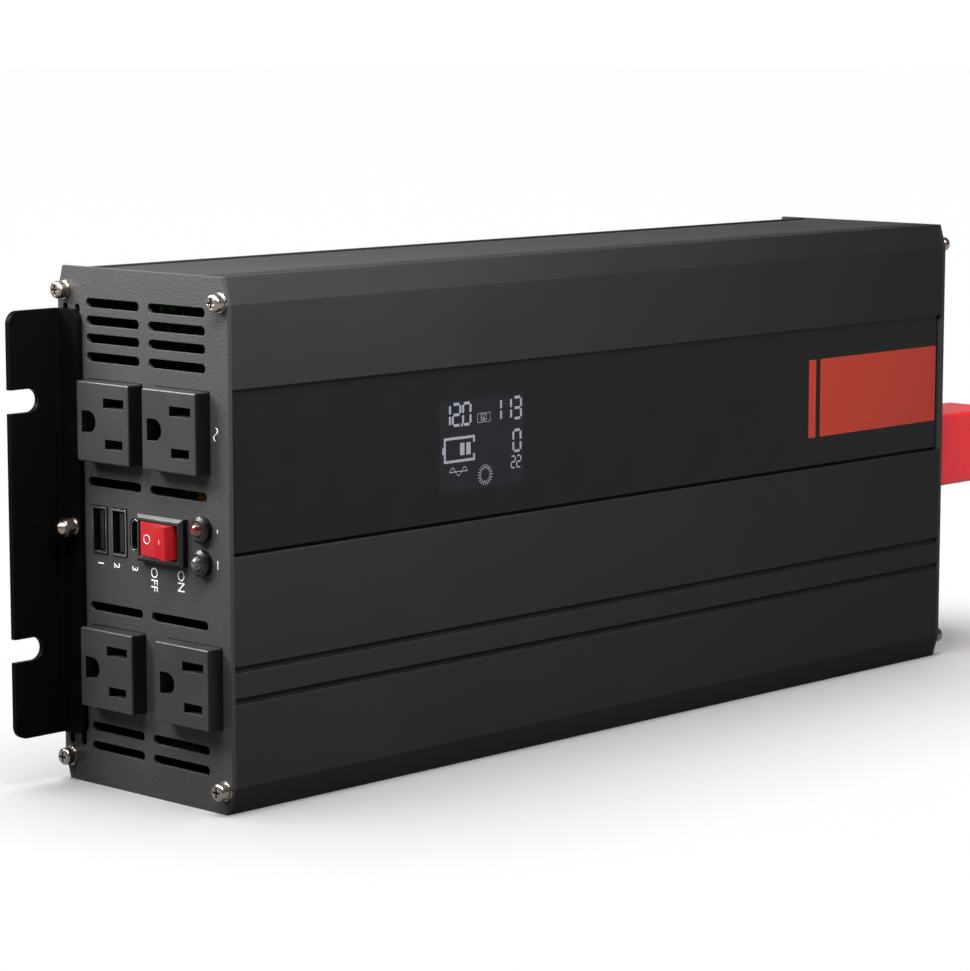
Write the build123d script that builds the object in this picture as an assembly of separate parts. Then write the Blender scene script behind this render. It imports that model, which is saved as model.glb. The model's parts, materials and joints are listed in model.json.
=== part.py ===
"""12 V DC to mains power inverter in a slim aluminium case, as separate pieces.

Frame: the case stands on one of its long narrow sides. +X runs along the case from the
outlet end to the fan end, -Y is the labelled front face, +Y the mounting face, +Z up.
The origin is the centre of the standing face. Millimetres throughout.
"""
from build123d import *
from math import hypot
import os

# ---- case ----------------------------------------------------------------------------
CASE_LENGTH = 358.0        # over both end panels
CASE_DEPTH = 79.0          # front face to mounting face
CASE_HEIGHT = 163.0        # standing face to top
CHAMFER_DEPTH = 2.4        # corner chamfer, measured across the narrow side
CHAMFER_HEIGHT = 8.2       # corner chamfer, measured up the wide side
PANEL_THICK = 1.5          # end panels
SHELL_WALL = 2.5           # front shell
BASE_WALL = 3.0            # mounting plate of the rear base
BASE_SIDE_WALL = 2.5
JOINT_DEPTH = 62.0         # where the two shells meet, from the front face
JOINT_GROOVE_WIDTH = 8.0   # groove along the joint, half of it in each shell
JOINT_GROOVE_DEPTH = 1.2
JOINT_RIB_WIDTH = 2.2
JOINT_RIB_DROP = 0.2       # rib top below the narrow side
BASE_STEP = 2.0            # the base's narrow sides lie this far inside the shell's
TONGUE_LENGTH = 6.0        # how far the base reaches inside the front shell
FINE_RIB_COUNT = 5         # fine grooves beside the front corners
FINE_RIB_PITCH = 1.9
FINE_RIB_WIDTH = 0.9
FINE_RIB_DEPTH = 0.4
BACK_GROOVE_COUNT = 7      # shallow grooves in the mounting plate
BACK_GROOVE_PITCH = 20.0
BACK_GROOVE_WIDTH = 3.0
BACK_GROOVE_DEPTH = 0.8
STEP_GROOVES = (34.8, 44.5)  # heights of the two step grooves of the front face
STEP_GROOVE_WIDTH = 2.2
STEP_GROOVE_DEPTH = 0.9
LABEL_RISE = -2.7          # lower edge of the label slot, from the middle of the case
LABEL_HEIGHT = 50.7        # visible height of the slot
LABEL_LIP = 0.8            # thickness of the lips that hold the strip
LABEL_UNDERCUT = 1.0       # how far the slot runs behind its upper lip
LABEL_FLOOR = 2.0          # floor of the slot, from the front face
LABEL_BACKING = 1.8        # metal left behind the slot floor
LABEL_THICK = 1.0
LABEL_GAP = 1.3            # open gap under the strip
LABEL_SHORT = 2.2          # the strip stops this far before the shell's fan end
SEAT_CLEARANCE = 0.1
PAST = 1.0                 # cuts run this far past the faces they open

# ---- fasteners -----------------------------------------------------------------------
SCREW_INSET_DEPTH = 3.15   # corner screws, from the wide faces
SCREW_INSET_HEIGHT = 7.5   # corner screws, from the narrow sides
SCREW_RADIUS = 1.5
SCREW_LENGTH = 12.0
SCREW_HEAD_RADIUS = 2.75
SCREW_HEAD_HEIGHT = 2.6
SCREW_HEAD_ROUND = 1.0
RECESS_SPAN = 3.2          # cross recess of the head
RECESS_WIDTH = 0.8
RECESS_DEPTH = 1.2
WASHER_RADIUS = 3.05
WASHER_THICK = 0.5
LOCK_RADIUS = 2.6          # spring washer between the head and the flat washer
LOCK_THICK = 0.8
PORT_RADIUS = 3.5          # screw ports inside the shells
HOLE_CLEARANCE = 0.15

# ---- mounting brackets ---------------------------------------------------------------
BRACKET_THICK = 2.0
BRACKET_FLANGE = 21.0      # stands out from the end panel
BRACKET_LEG = 11.6         # lies on the end panel
BRACKET_END_SPACE = 14.3   # from its ends to the narrow sides, before the rise
BRACKET_RISE = 1.0         # its middle above the middle of the case
BRACKET_CORNER = 4.0
BRACKET_BEND = 0.5         # inside radius of the bend
NOTCH_RADIUS = 3.7
NOTCH_DEPTH = 11.1         # from the free edge to the end of the notch
NOTCH_SPACING = 78.2
NUT_ACROSS_FLATS = 5.5
NUT_HEIGHT = 2.8
NUT_WASHER_RADIUS = 3.1
DOME_RADIUS = 2.4
STUD_INSET = 8.0           # bracket stud, from the mounting face
STUD_HEAD_RADIUS = 2.2
STUD_HEAD_THICK = 1.0

# ---- outlets -------------------------------------------------------------------------
OUTLET_FACE_DEPTH = 24.8   # size of the raised face, along Y
OUTLET_FACE_HEIGHT = 25.0
OUTLET_PROUD = 5.6
OUTLET_CORNER = 0.8
OUTLET_EDGE = 0.6
OUTLET_OFFSET = 5.2        # middle of the face from the line through the blades
OUTLET_FLANGE_EXTRA = 0.7
OUTLET_FLANGE_THICK = 2.0
OUTLET_BODY_LENGTH = 20.0  # behind the panel
OUTLET_BODY_INSET = 1.6
BLADE_SPACING = 12.7
BLADE_WIDTH = 3.0
NEUTRAL_LENGTH = 9.6
HOT_LENGTH = 8.2
GROUND_OFFSET = 11.9
GROUND_RADIUS = 3.4
GROUND_FLAT = 3.2          # flat side of the ground hole, from the hole's centre
SLOT_REACH = 15.0          # slots, from the outlet face
CONTACT_START = 4.0        # pockets of the contacts, from the outlet face
CONTACT_POCKET = 5.4       # width of a pocket, across the blade
CONTACT_THICK = 0.5
CONTACT_CLEARANCE = 0.4
OUTLET_UPPER = CASE_HEIGHT * 0.711   # height of the blade centres, as a share of the case's
OUTLET_LOWER = CASE_HEIGHT * 0.2374
OUTLET_REAR = CASE_DEPTH * 0.588     # depth of the blade line, as a share of the case's
OUTLET_FRONT = CASE_DEPTH * 0.1987
OUTLET_WALL_GAP = 0.8      # lower front outlet's flange from the shell's wall
OUTLET_NEAR = SHELL_WALL + OUTLET_WALL_GAP + OUTLET_FLANGE_EXTRA + OUTLET_FACE_DEPTH / 2 - OUTLET_OFFSET
OUTLETS = {                # depth and height of the blade centre
    "outlet_upper_rear": (OUTLET_REAR, OUTLET_UPPER),
    "outlet_upper_front": (OUTLET_FRONT, OUTLET_UPPER),
    "outlet_lower_rear": (OUTLET_REAR, OUTLET_LOWER),
    "outlet_lower_front": (OUTLET_NEAR, OUTLET_LOWER),
}

# ---- vents of the outlet panel -------------------------------------------------------
VENT_HEIGHT = 3.0
VENT_ROWS = (0.9325, 0.8988, 0.865, 0.8294, 0.5908, 0.3497, 0.1141, 0.0761)  # of the case's height
VENT_COLUMNS = ((0.129, 0.458), (0.511, 0.828))  # ends of the slots, of the case's depth
SIDE_SLOT_WIDTH = 2.4
SIDE_SLOTS = (9.3, 3.6)    # from the mounting face
SIDE_SLOT_EDGE = 11.6      # outer end of a side slot, from the narrow side
SIDE_SLOT_LENGTH = 23.0

# ---- controls ------------------------------------------------------------------------
USB_PORTS = (60.2, 50.9)
USB_WIDTH = 7.0
USB_HEIGHT = 14.6
USB_WALL = 0.6
USB_LENGTH = 14.0
USB_PROUD = 0.4
USB_HOLE_CLEARANCE = 0.3
USB_BLOCK = 4.0            # moulded block that closes a port's back
USB_TONGUE_THICK = 1.8
USB_TONGUE_SHIFT = 0.3     # towards the front face
USB_TONGUE_SIDE = 0.7      # free space beside the tongue
USB_TONGUE_SET = 0.6       # tip behind the panel's face
USB_C_PLACE = 43.9
USB_C_WIDTH = 3.8
USB_C_HEIGHT = 9.6
USB_C_WALL = 0.3
USB_C_SET = 0.2            # its rim behind the panel's face
USB_C_TONGUE_THICK = 0.8
USB_C_TONGUE_SIDE = 1.6
USB_C_TONGUE_SET = 1.4
CHARGER_MARGIN = 3.5       # charging board around the ports
CHARGER_CHIP = 6.0
CHARGER_CHIP_THICK = 2.0
CHARGER_COIL = 8.0
CHARGER_COIL_HEIGHT = 5.0
SWITCH_PLACE = 29.6
BEZEL_LENGTH = 21.0
BEZEL_HEIGHT = 14.8
BEZEL_PROUD = 2.9
BEZEL_TAPER = 1.0
SWITCH_BODY_LENGTH = 19.0
SWITCH_BODY_HEIGHT = 12.8
SWITCH_BODY_REACH = 14.0
SWITCH_FLOOR = 3.0
ROCKER_OPENING = 17.6
ROCKER_WIDTH = 10.4
ROCKER_SIDE_GAP = 0.3
ROCKER_HALF_TOP = 7.7
ROCKER_END_HEIGHT = 4.65   # above the pivot, with the rocker level
ROCKER_MID_HEIGHT = 3.6
ROCKER_REACH = 4.0         # below the pivot
ROCKER_SHOULDER = 0.3      # narrowing at the pivot, each end
ROCKER_TAPER = 3.0         # narrowing at the foot, each end
ROCKER_ROUND = 0.5
ROCKER_TILT = 13.0         # each way from level
PIVOT_RADIUS = 1.5
PIVOT_REACH = 0.4          # pivot pins beyond the side gap
PIVOT_CLEARANCE = 0.05
PIVOT_END_CLEARANCE = 0.2
TAB_PITCH = 6.0
TAB_THICK = 0.8
TAB_WIDTH = 4.8
TAB_LENGTH = 7.0
LAMP_PLACE = 12.0
LAMP_PITCH = 10.2
LAMP_RING_RADIUS = 4.1
LAMP_RING_PROUD = 2.8
LAMP_RING_TAPER = 0.9
LAMP_BARREL_RADIUS = 3.0
LAMP_LENS_RADIUS = 2.4
LAMP_DOME_SET = 0.8        # centre of the lens dome below the ring's rim
LAMP_REACH = 7.0
LEAD_LENGTH = 8.0
LEAD_PITCH = 2.54
LEAD_RADIUS = 0.3

# ---- display -------------------------------------------------------------------------
DISPLAY_START = 89.8       # window, from the outlet end
DISPLAY_LENGTH = 39.6
DISPLAY_RISE = 10.1        # its lower edge, from the lower edge of the label slot
DISPLAY_HEIGHT = 29.8
DISPLAY_BOARD_MARGIN = 4.0
BOARD_THICK = 1.6

# ---- direct-current end --------------------------------------------------------------
FAN_SIZE = 50.0
FAN_THICK = 15.0
FAN_CORNER = 3.0
FAN_BORE_RADIUS = 23.2
FAN_EDGE = 7.5             # fan frames, from the narrow sides
FAN_CLEARANCE = 1.9        # between the fan frames and the bracket's leg
FAN_HOLE_SPACING = 40.0
FAN_SHAFT_RADIUS = 1.5
FAN_BACK_THICK = 2.2       # motor carrier behind the rotor
FAN_STRUT_COUNT = 3
FAN_STRUT_WIDTH = 3.0
FAN_STRUT_TURN = 45.0      # first strut, from the horizontal
STRUT_OVERLAP = 0.5        # strut ends run into the frame's wall
ROTOR_RADIUS = 22.4
ROTOR_LIFT = 0.6           # gap between the rotor and the motor carrier
HUB_RADIUS = 10.5
HUB_LENGTH = 11.0
HUB_ROUND = 1.5
BLADE_COUNT = 7
BLADE_THICK = 1.1
BLADE_ROOT_CHORD = 11.2
BLADE_ROOT_PITCH = 42.0    # turn of the chord from the axis' normal plane
BLADE_TIP_CHORD = 15.6
BLADE_TIP_PITCH = 58.0
BLADE_SINK = 0.6           # blade roots run into the hub
BLADE_MARGIN = 0.5         # blades stop short of the hub's ends
GUARD_WIRE = 0.9           # half thickness of the guard's wire
GUARD_RINGS = (8.0, 15.0, 22.0)
COVER_HEIGHT = 27.4        # terminal covers, along Z
COVER_DEPTH = 25.0
COVER_LENGTH = 56.0
COVER_WALL = 2.0
COVER_CORNER = 1.5
COVER_INNER_CORNER = 0.5
COVER_RIM_ROUND = 1.2
COVER_MOUTH_RADIUS = 8.0
COVER_CLEARANCE = 0.4      # between the rear cover and the bracket's leg
COVER_SEAT = 0.3           # gap between the cover and the panel
COVER_SLIP = 0.2           # gap around the insulator inside the cover
TERMINAL_DROP = 6.1        # both studs, below the middle of the case
TERMINAL_PITCH = 29.0
STUD_RADIUS = 4.0          # free end, beyond the nut
STUD_ROOT_RADIUS = 5.0
STUD_LENGTH = 30.0         # stands out from the panel
INSULATOR_THICK = 5.0
INSULATOR_COLLAR = 3.0     # reaches in behind the panel
TERMINAL_NUT_FLATS = 15.0
TERMINAL_NUT_HEIGHT = 6.5
TERMINAL_WASHER_RADIUS = 8.0
TERMINAL_WASHER_THICK = 1.6
BUS_WIDTH = 14.0           # bus bars
BUS_SHEET = 3.0
BUS_SPACE = 4.0
BUS_CLEARANCE = 3.0        # between the fan frames and the bars
BUS_FOOT = 30.0

# ---- electronics ---------------------------------------------------------------------
BOARD_START = 34.0         # from the outlet end
BOARD_END_SPACE = 38.0     # from the fan end
BOARD_EDGE = 9.0           # from the narrow sides
STANDOFF_HEIGHT = 6.0
STANDOFF_RADIUS = 3.0
STANDOFF_INSET = 11.5      # from the board's short edges
STANDOFF_EDGE = 6.0        # from its long edges
TRANSFORMER_PLACE = 120.0  # from the fan end
TRANSFORMER_COUNT = 4
TRANSFORMER_PITCH = 33.0
CORE_LENGTH = 36.0
CORE_WIDTH = 12.0
CORE_HEIGHT = 34.0
CORE_LEG = 10.0
WINDING_LENGTH = 26.0
WINDING_WIDTH = 27.0
WINDING_HEIGHT = 24.0
WINDING_ROUND = 3.0
CAP_RADIUS = 6.5
CAP_LENGTH = 25.0
CAP_COUNT = 7
CAP_SPACE = 4.0            # from the transformers
CAP_APART = 5.0
CAP_CHAMFER = 0.6
BULK_CAP_RADIUS = 12.5
BULK_CAP_LENGTH = 42.0
BULK_CAP_SPACE = 8.0       # from the transformers
BULK_CAP_APART = 12.0
BULK_CAP_CHAMFER = 1.0
CHOKE_RADIUS = 18.0
CHOKE_HOLE = 8.5
CHOKE_HEIGHT = 16.0
CHOKE_CHAMFER = 3.0
CHOKE_SPACE = 10.0         # from the board's edge
FILTER_START = 18.0        # film capacitor and relay, from the board's edge
FILTER_SPACE = 8.0         # from the choke
FILM_LENGTH = 24.0
FILM_HEIGHT = 20.0
FILM_WIDTH = 32.0
RELAY_LENGTH = 28.0
RELAY_HEIGHT = 16.0
RELAY_WIDTH = 18.0
HEAT_BAR_MIDDLE = 123.0    # from the outlet end
HEAT_BAR_LENGTH = 190.0
HEAT_BAR_THICK = 5.0
HEAT_BAR_DEPTH = 20.0
HEAT_BAR_LIFT = 2.0        # above the board
TRANSISTOR_COUNT = 9
TRANSISTOR_PITCH = 19.5
TRANSISTOR_WIDTH = 10.0
TRANSISTOR_HEIGHT = 15.0
TRANSISTOR_THICK = 4.5
LEG_LENGTH = 5.0
LEG_PITCH = 2.5
LEG_WIDTH = 1.0
LEG_SET = 1.5              # legs in front of the clamped face
CONTROL_BOARD_PLACE = 68.0  # from the transformers
CONTROL_BOARD_HEIGHT = 34.0
CONTROL_BOARD_WIDTH = 76.0
CONTROL_CHIP_THICK = 2.0
CONTROL_CHIP_HEIGHT = 10.0
CONTROL_CHIP_WIDTH = 12.0
FUSE_COUNT = 4             # on each side of the bus bars
FUSE_PITCH = 9.0
FUSE_SPACE = 0.6
FUSE_LENGTH = 18.0
FUSE_HEIGHT = 15.0
FUSE_THICK = 5.0
FUSE_INSET = 5.0           # from the board's edge
WIRE_RADIUS = 1.3
WIRE_BEND = 4.0
WIRE_ENDS = {"rear": 5.0, "front": 10.0}  # where the wires meet the board, from its edge

OUT_X = -CASE_LENGTH / 2
FAN_X = CASE_LENGTH / 2
FRONT_Y = -CASE_DEPTH / 2
BACK_Y = CASE_DEPTH / 2
MIDDLE_Z = CASE_HEIGHT / 2
SHELL_START = OUT_X + PANEL_THICK
SHELL_END = FAN_X - PANEL_THICK
CONTROL_HEIGHT = MIDDLE_Z
LAMP_HEIGHTS = (CONTROL_HEIGHT + LAMP_PITCH / 2, CONTROL_HEIGHT - LAMP_PITCH / 2)
LABEL_LOW = MIDDLE_Z + LABEL_RISE
LABEL_HIGH = LABEL_LOW + LABEL_HEIGHT
DISPLAY_LOW = LABEL_LOW + DISPLAY_RISE
LEG_EDGE = CASE_DEPTH - BRACKET_LEG
BRACKET_HEIGHT = CASE_HEIGHT - 2 * BRACKET_END_SPACE
FAN_MIDDLE = LEG_EDGE - FAN_CLEARANCE - FAN_SIZE / 2
REAR_TERMINAL = LEG_EDGE - COVER_CLEARANCE - COVER_DEPTH / 2
TERMINAL_PLACES = (REAR_TERMINAL - TERMINAL_PITCH, REAR_TERMINAL)
TERMINAL_HEIGHT = MIDDLE_Z - TERMINAL_DROP
TERMINAL_SEAT = FAN_X + INSULATOR_THICK
TERMINAL_NUT_TOP = TERMINAL_SEAT + TERMINAL_WASHER_THICK + TERMINAL_NUT_HEIGHT
STUD_END = SHELL_END - FAN_THICK - BUS_CLEARANCE
BOARD_BACK = CASE_DEPTH - BASE_WALL - STANDOFF_HEIGHT
BOARD_FRONT = BOARD_BACK - BOARD_THICK
BOARD_X = OUT_X + BOARD_START
BOARD_END_X = FAN_X - BOARD_END_SPACE
TRANSFORMER_X = FAN_X - TRANSFORMER_PLACE
SIDE_LOW = BASE_STEP + BASE_SIDE_WALL
SIDE_HIGH = CASE_HEIGHT - SIDE_LOW


def at_depth(depth):
    """Y of a point that lies this far behind the front face."""
    return FRONT_Y + depth


def rect(depth0, depth1, z0, z1):
    """Rectangle on the section plane, by depth from the front face and by height."""
    middle = (at_depth((depth0 + depth1) / 2), (z0 + z1) / 2)
    return Pos(*middle) * Rectangle(depth1 - depth0, z1 - z0)


def rect_about(depth, z, size_depth, size_z):
    """Rectangle on the section plane, by its middle and its size."""
    return Pos(at_depth(depth), z) * Rectangle(size_depth, size_z)


def disc(depth, z, radius):
    """Disc on the section plane."""
    return Pos(at_depth(depth), z) * Circle(radius)


def along_x(face, start, end):
    """Extrude a face of the section plane from one X to another."""
    return extrude(Plane.YZ.offset(start) * face, end - start)


def block(x0, x1, depth0, depth1, z0, z1):
    """Plain block by its limits."""
    return along_x(rect(depth0, depth1, z0, z1), x0, x1)


def rod(x0, x1, depth, z, radius):
    """Round bar along X."""
    return along_x(disc(depth, z, radius), x0, x1)


def hexagon(depth, z, flats):
    """Hexagon on the section plane, by its width across flats."""
    return Pos(at_depth(depth), z) * RegularPolygon(flats / 2, 6, major_radius=False)


def outline(inset=0.0):
    """Outline of the case's cross section, with its four chamfered corners."""
    low, high = inset, CASE_HEIGHT - inset
    front, back = at_depth(inset), at_depth(CASE_DEPTH - inset)
    dy, dz = CHAMFER_DEPTH, CHAMFER_HEIGHT
    points = [(front, low + dz), (front + dy, low), (back - dy, low), (back, low + dz),
              (back, high - dz), (back - dy, high), (front + dy, high), (front, high - dz)]
    return Polygon(*points, align=None)


def both_sides(shape):
    """A shape of the upper narrow side together with its mirror on the lower one."""
    return shape + mirror(shape, Plane.XZ.offset(-MIDDLE_Z))


def mirrored(shape):
    """The same piece at the fan end."""
    return mirror(shape, Plane.YZ)


def group(pieces):
    """Several separate solids in one node."""
    return Compound(children=[solid for piece in pieces for solid in piece.solids()])


def corner_places():
    """Depth and height of the four corner screws."""
    depths = (SCREW_INSET_DEPTH, CASE_DEPTH - SCREW_INSET_DEPTH)
    heights = (SCREW_INSET_HEIGHT, CASE_HEIGHT - SCREW_INSET_HEIGHT)
    return [(depth, z) for depth in depths for z in heights]


def screw_hole(depth, z):
    """Clearance hole for a small screw, on the section plane."""
    return disc(depth, z, SCREW_RADIUS + HOLE_CLEARANCE)


# ---- the case ------------------------------------------------------------------------
def front_shell():
    """U-shaped extrusion with the label slot, step grooves and screw ports."""
    top = CASE_HEIGHT
    section = (outline() - outline(SHELL_WALL)) & rect(-PAST, JOINT_DEPTH, -PAST, top + PAST)
    backing = LABEL_FLOOR + LABEL_BACKING
    section += rect(SHELL_WALL / 2, backing, LABEL_LOW - backing, LABEL_HIGH + backing)
    for depth, z in corner_places():
        if depth < JOINT_DEPTH:
            section += disc(depth, z, PORT_RADIUS) & outline(SHELL_WALL / 2)
            section -= disc(depth, z, SCREW_RADIUS)
    section -= rect(LABEL_LIP, LABEL_FLOOR, LABEL_LOW, LABEL_HIGH + LABEL_UNDERCUT)
    section -= rect(-PAST, LABEL_LIP, LABEL_LOW, LABEL_HIGH)
    for z in STEP_GROOVES:
        half = STEP_GROOVE_WIDTH / 2
        section -= rect(-PAST, STEP_GROOVE_DEPTH, z - half, z + half)
    groove_start = JOINT_DEPTH - JOINT_GROOVE_WIDTH / 2
    cuts = rect(groove_start, JOINT_DEPTH, top - JOINT_GROOVE_DEPTH, top + PAST)
    for index in range(FINE_RIB_COUNT):
        start = CHAMFER_DEPTH + FINE_RIB_WIDTH + index * FINE_RIB_PITCH
        cuts += rect(start, start + FINE_RIB_WIDTH, top - FINE_RIB_DEPTH, top + PAST)
    section -= both_sides(cuts)
    shell = along_x(section, SHELL_START, SHELL_END)
    start = OUT_X + DISPLAY_START
    window = block(start, start + DISPLAY_LENGTH, LABEL_FLOOR - SEAT_CLEARANCE, backing + PAST,
                   DISPLAY_LOW, DISPLAY_LOW + DISPLAY_HEIGHT)
    return shell - window


def rear_base():
    """Base extrusion: mounting plate, low side walls and tongues inside the front shell."""
    top = CASE_HEIGHT
    groove_end = JOINT_DEPTH + JOINT_GROOVE_WIDTH / 2
    rib_end = groove_end + JOINT_RIB_WIDTH
    section = outline() & rect(JOINT_DEPTH, CASE_DEPTH, BASE_STEP, top - BASE_STEP)
    section -= rect(0, CASE_DEPTH - BASE_WALL, SIDE_LOW, SIDE_HIGH)
    side = rect(JOINT_DEPTH, groove_end, SIDE_HIGH, top - JOINT_GROOVE_DEPTH)
    side += rect(groove_end, rib_end, SIDE_HIGH, top - JOINT_RIB_DROP)
    tongue_top = top - SHELL_WALL - SEAT_CLEARANCE
    side += rect(JOINT_DEPTH - TONGUE_LENGTH, JOINT_DEPTH + PAST, SIDE_HIGH, tongue_top)
    section += both_sides(side)
    for depth, z in corner_places():
        if depth > JOINT_DEPTH:
            section += disc(depth, z, PORT_RADIUS) & outline(BASE_WALL / 2)
            section -= disc(depth, z, SCREW_RADIUS)
    for index in range(BACK_GROOVE_COUNT):
        z = MIDDLE_Z + (index - (BACK_GROOVE_COUNT - 1) / 2) * BACK_GROOVE_PITCH
        half = BACK_GROOVE_WIDTH / 2
        section -= rect(CASE_DEPTH - BACK_GROOVE_DEPTH, CASE_DEPTH + PAST, z - half, z + half)
    return along_x(section, SHELL_START, SHELL_END)


def vent_slots():
    """Level vent slots and upright side slots of the outlet panel, on the section plane."""
    slots = []
    for start, end in VENT_COLUMNS:
        slot = SlotOverall((end - start) * CASE_DEPTH, VENT_HEIGHT)
        middle = at_depth((start + end) / 2 * CASE_DEPTH)
        slots += [Pos(middle, row * CASE_HEIGHT) * slot for row in VENT_ROWS]
    edge = SIDE_SLOT_EDGE + SIDE_SLOT_LENGTH / 2
    for inset in SIDE_SLOTS:
        slot = SlotOverall(SIDE_SLOT_LENGTH, SIDE_SLOT_WIDTH, rotation=90)
        slots += [Pos(BACK_Y - inset, z) * slot for z in (edge, CASE_HEIGHT - edge)]
    return slots


def outlet_panel():
    """End panel with the vents and the cut-outs of everything that looks out of it."""
    face = outline()
    for slot in vent_slots():
        face -= slot
    grow = 2 * HOLE_CLEARANCE
    for depth, z in OUTLETS.values():
        face -= rect_about(depth + OUTLET_OFFSET, z, OUTLET_FACE_DEPTH + grow,
                           OUTLET_FACE_HEIGHT + grow)
    face -= rect_about(SWITCH_PLACE, CONTROL_HEIGHT, SWITCH_BODY_LENGTH + grow,
                       SWITCH_BODY_HEIGHT + grow)
    grow = 2 * USB_HOLE_CLEARANCE
    for depth in USB_PORTS:
        face -= rect_about(depth, CONTROL_HEIGHT, USB_WIDTH + grow, USB_HEIGHT + grow)
    face -= usb_c_outline(USB_HOLE_CLEARANCE)
    for z in LAMP_HEIGHTS:
        face -= disc(LAMP_PLACE, z, LAMP_BARREL_RADIUS + HOLE_CLEARANCE)
    face -= screw_hole(CASE_DEPTH - STUD_INSET, MIDDLE_Z)
    for depth, z in corner_places():
        face -= screw_hole(depth, z)
    return along_x(face, OUT_X, SHELL_START)


def fan_middles():
    """Heights of the two fan axes."""
    return {"lower": FAN_EDGE + FAN_SIZE / 2, "upper": CASE_HEIGHT - FAN_EDGE - FAN_SIZE / 2}


def fan_corners(z):
    """Depth and height of one fan's four screws."""
    half = FAN_HOLE_SPACING / 2
    return [(FAN_MIDDLE + a * half, z + b * half) for a in (-1, 1) for b in (-1, 1)]


def fan_panel():
    """End panel with the two fan openings and the terminal cut-outs."""
    face = outline()
    for z in fan_middles().values():
        face -= disc(FAN_MIDDLE, z, FAN_BORE_RADIUS)
        for depth, height in fan_corners(z):
            face -= screw_hole(depth, height)
    for depth in TERMINAL_PLACES:
        face -= disc(depth, TERMINAL_HEIGHT, TERMINAL_WASHER_RADIUS + HOLE_CLEARANCE)
    face -= screw_hole(CASE_DEPTH - STUD_INSET, MIDDLE_Z)
    for depth, z in corner_places():
        face -= screw_hole(depth, z)
    return along_x(face, SHELL_END, FAN_X)


def pan_head_screw(depth, z):
    """Pan-head screw with its two washers, at the outlet end: head towards -X."""
    washer = OUT_X - WASHER_THICK
    lock = washer - LOCK_THICK
    top = lock - SCREW_HEAD_HEIGHT
    head = rod(top, lock, depth, z, SCREW_HEAD_RADIUS)
    head = fillet(head.edges().filter_by(GeomType.CIRCLE).group_by(Axis.X)[0], SCREW_HEAD_ROUND)
    screw = head + rod(lock, washer, depth, z, LOCK_RADIUS)
    screw += rod(washer, OUT_X, depth, z, WASHER_RADIUS)
    screw += rod(lock, OUT_X + SCREW_LENGTH, depth, z, SCREW_RADIUS)
    cross = rect_about(depth, z, RECESS_SPAN, RECESS_WIDTH)
    cross += rect_about(depth, z, RECESS_WIDTH, RECESS_SPAN)
    return screw - along_x(cross, top - PAST, top + RECESS_DEPTH)


def panel_screws():
    """The outlet end's four corner screws."""
    return group([pan_head_screw(depth, z) for depth, z in corner_places()])


def notch(z):
    """Open notch of a bracket's flange, as a face on the level plane of X and Z."""
    edge = OUT_X - BRACKET_FLANGE
    middle = edge + NOTCH_DEPTH - NOTCH_RADIUS
    straight = middle - edge + PAST
    mouth = Pos(middle - straight / 2, z) * Rectangle(straight, 2 * NOTCH_RADIUS)
    return mouth + Pos(middle, z) * Circle(NOTCH_RADIUS)


def bracket():
    """L-shaped mounting bracket of the outlet end, with two open notches in its flange."""
    thick = BRACKET_THICK
    face = OUT_X - thick
    points = [(OUT_X - BRACKET_FLANGE, BACK_Y - thick), (face, BACK_Y - thick),
              (face, BACK_Y - BRACKET_LEG), (OUT_X, BACK_Y - BRACKET_LEG),
              (OUT_X, BACK_Y), (OUT_X - BRACKET_FLANGE, BACK_Y)]
    section = Polygon(*points, align=None)
    inner = section.vertices().sort_by_distance((face, BACK_Y - thick))[0]
    section = fillet(inner, BRACKET_BEND)
    outer = section.vertices().sort_by_distance((OUT_X, BACK_Y))[0]
    section = fillet(outer, BRACKET_BEND + thick)
    middle_z = MIDDLE_Z + BRACKET_RISE
    body = extrude(Plane.XY.offset(middle_z - BRACKET_HEIGHT / 2) * section, BRACKET_HEIGHT)
    free_edges = body.edges().filter_by(Axis.Y).group_by(Axis.X)[0]
    free_edges += body.edges().filter_by(Axis.X).group_by(Axis.Y)[0]
    body = fillet(free_edges, BRACKET_CORNER)
    for side in (-1, 1):
        cut = notch(middle_z + side * NOTCH_SPACING / 2)
        body -= extrude(Plane.XZ.offset(-BACK_Y - PAST) * cut, thick + 2 * PAST)
    hole = screw_hole(CASE_DEPTH - STUD_INSET, MIDDLE_Z)
    return body - along_x(hole, face - PAST, OUT_X + PAST)


def bracket_fixing():
    """Stud with an inside head, and the two washers and dome nut that hold the bracket."""
    depth, z = CASE_DEPTH - STUD_INSET, MIDDLE_Z
    seat = OUT_X - BRACKET_THICK
    washer = seat - WASHER_THICK
    base = washer - LOCK_THICK
    top = base - NUT_HEIGHT
    stud = rod(top, SHELL_START, depth, z, SCREW_RADIUS)
    stud += rod(SHELL_START, SHELL_START + STUD_HEAD_THICK, depth, z, STUD_HEAD_RADIUS)
    nut = rod(washer, seat, depth, z, NUT_WASHER_RADIUS) + rod(base, washer, depth, z, LOCK_RADIUS)
    nut += along_x(hexagon(depth, z, NUT_ACROSS_FLATS), top, base)
    nut += Pos(top, at_depth(depth), z) * Sphere(DOME_RADIUS)
    return stud, nut - rod(top, seat, depth, z, SCREW_RADIUS)


def label_strip():
    """Glossy strip that slides into the slot of the front face."""
    front = LABEL_LIP + SEAT_CLEARANCE / 2
    return block(SHELL_START, SHELL_END - LABEL_SHORT, front, front + LABEL_THICK,
                 LABEL_LOW + LABEL_GAP, LABEL_HIGH + LABEL_UNDERCUT - SEAT_CLEARANCE)


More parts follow.
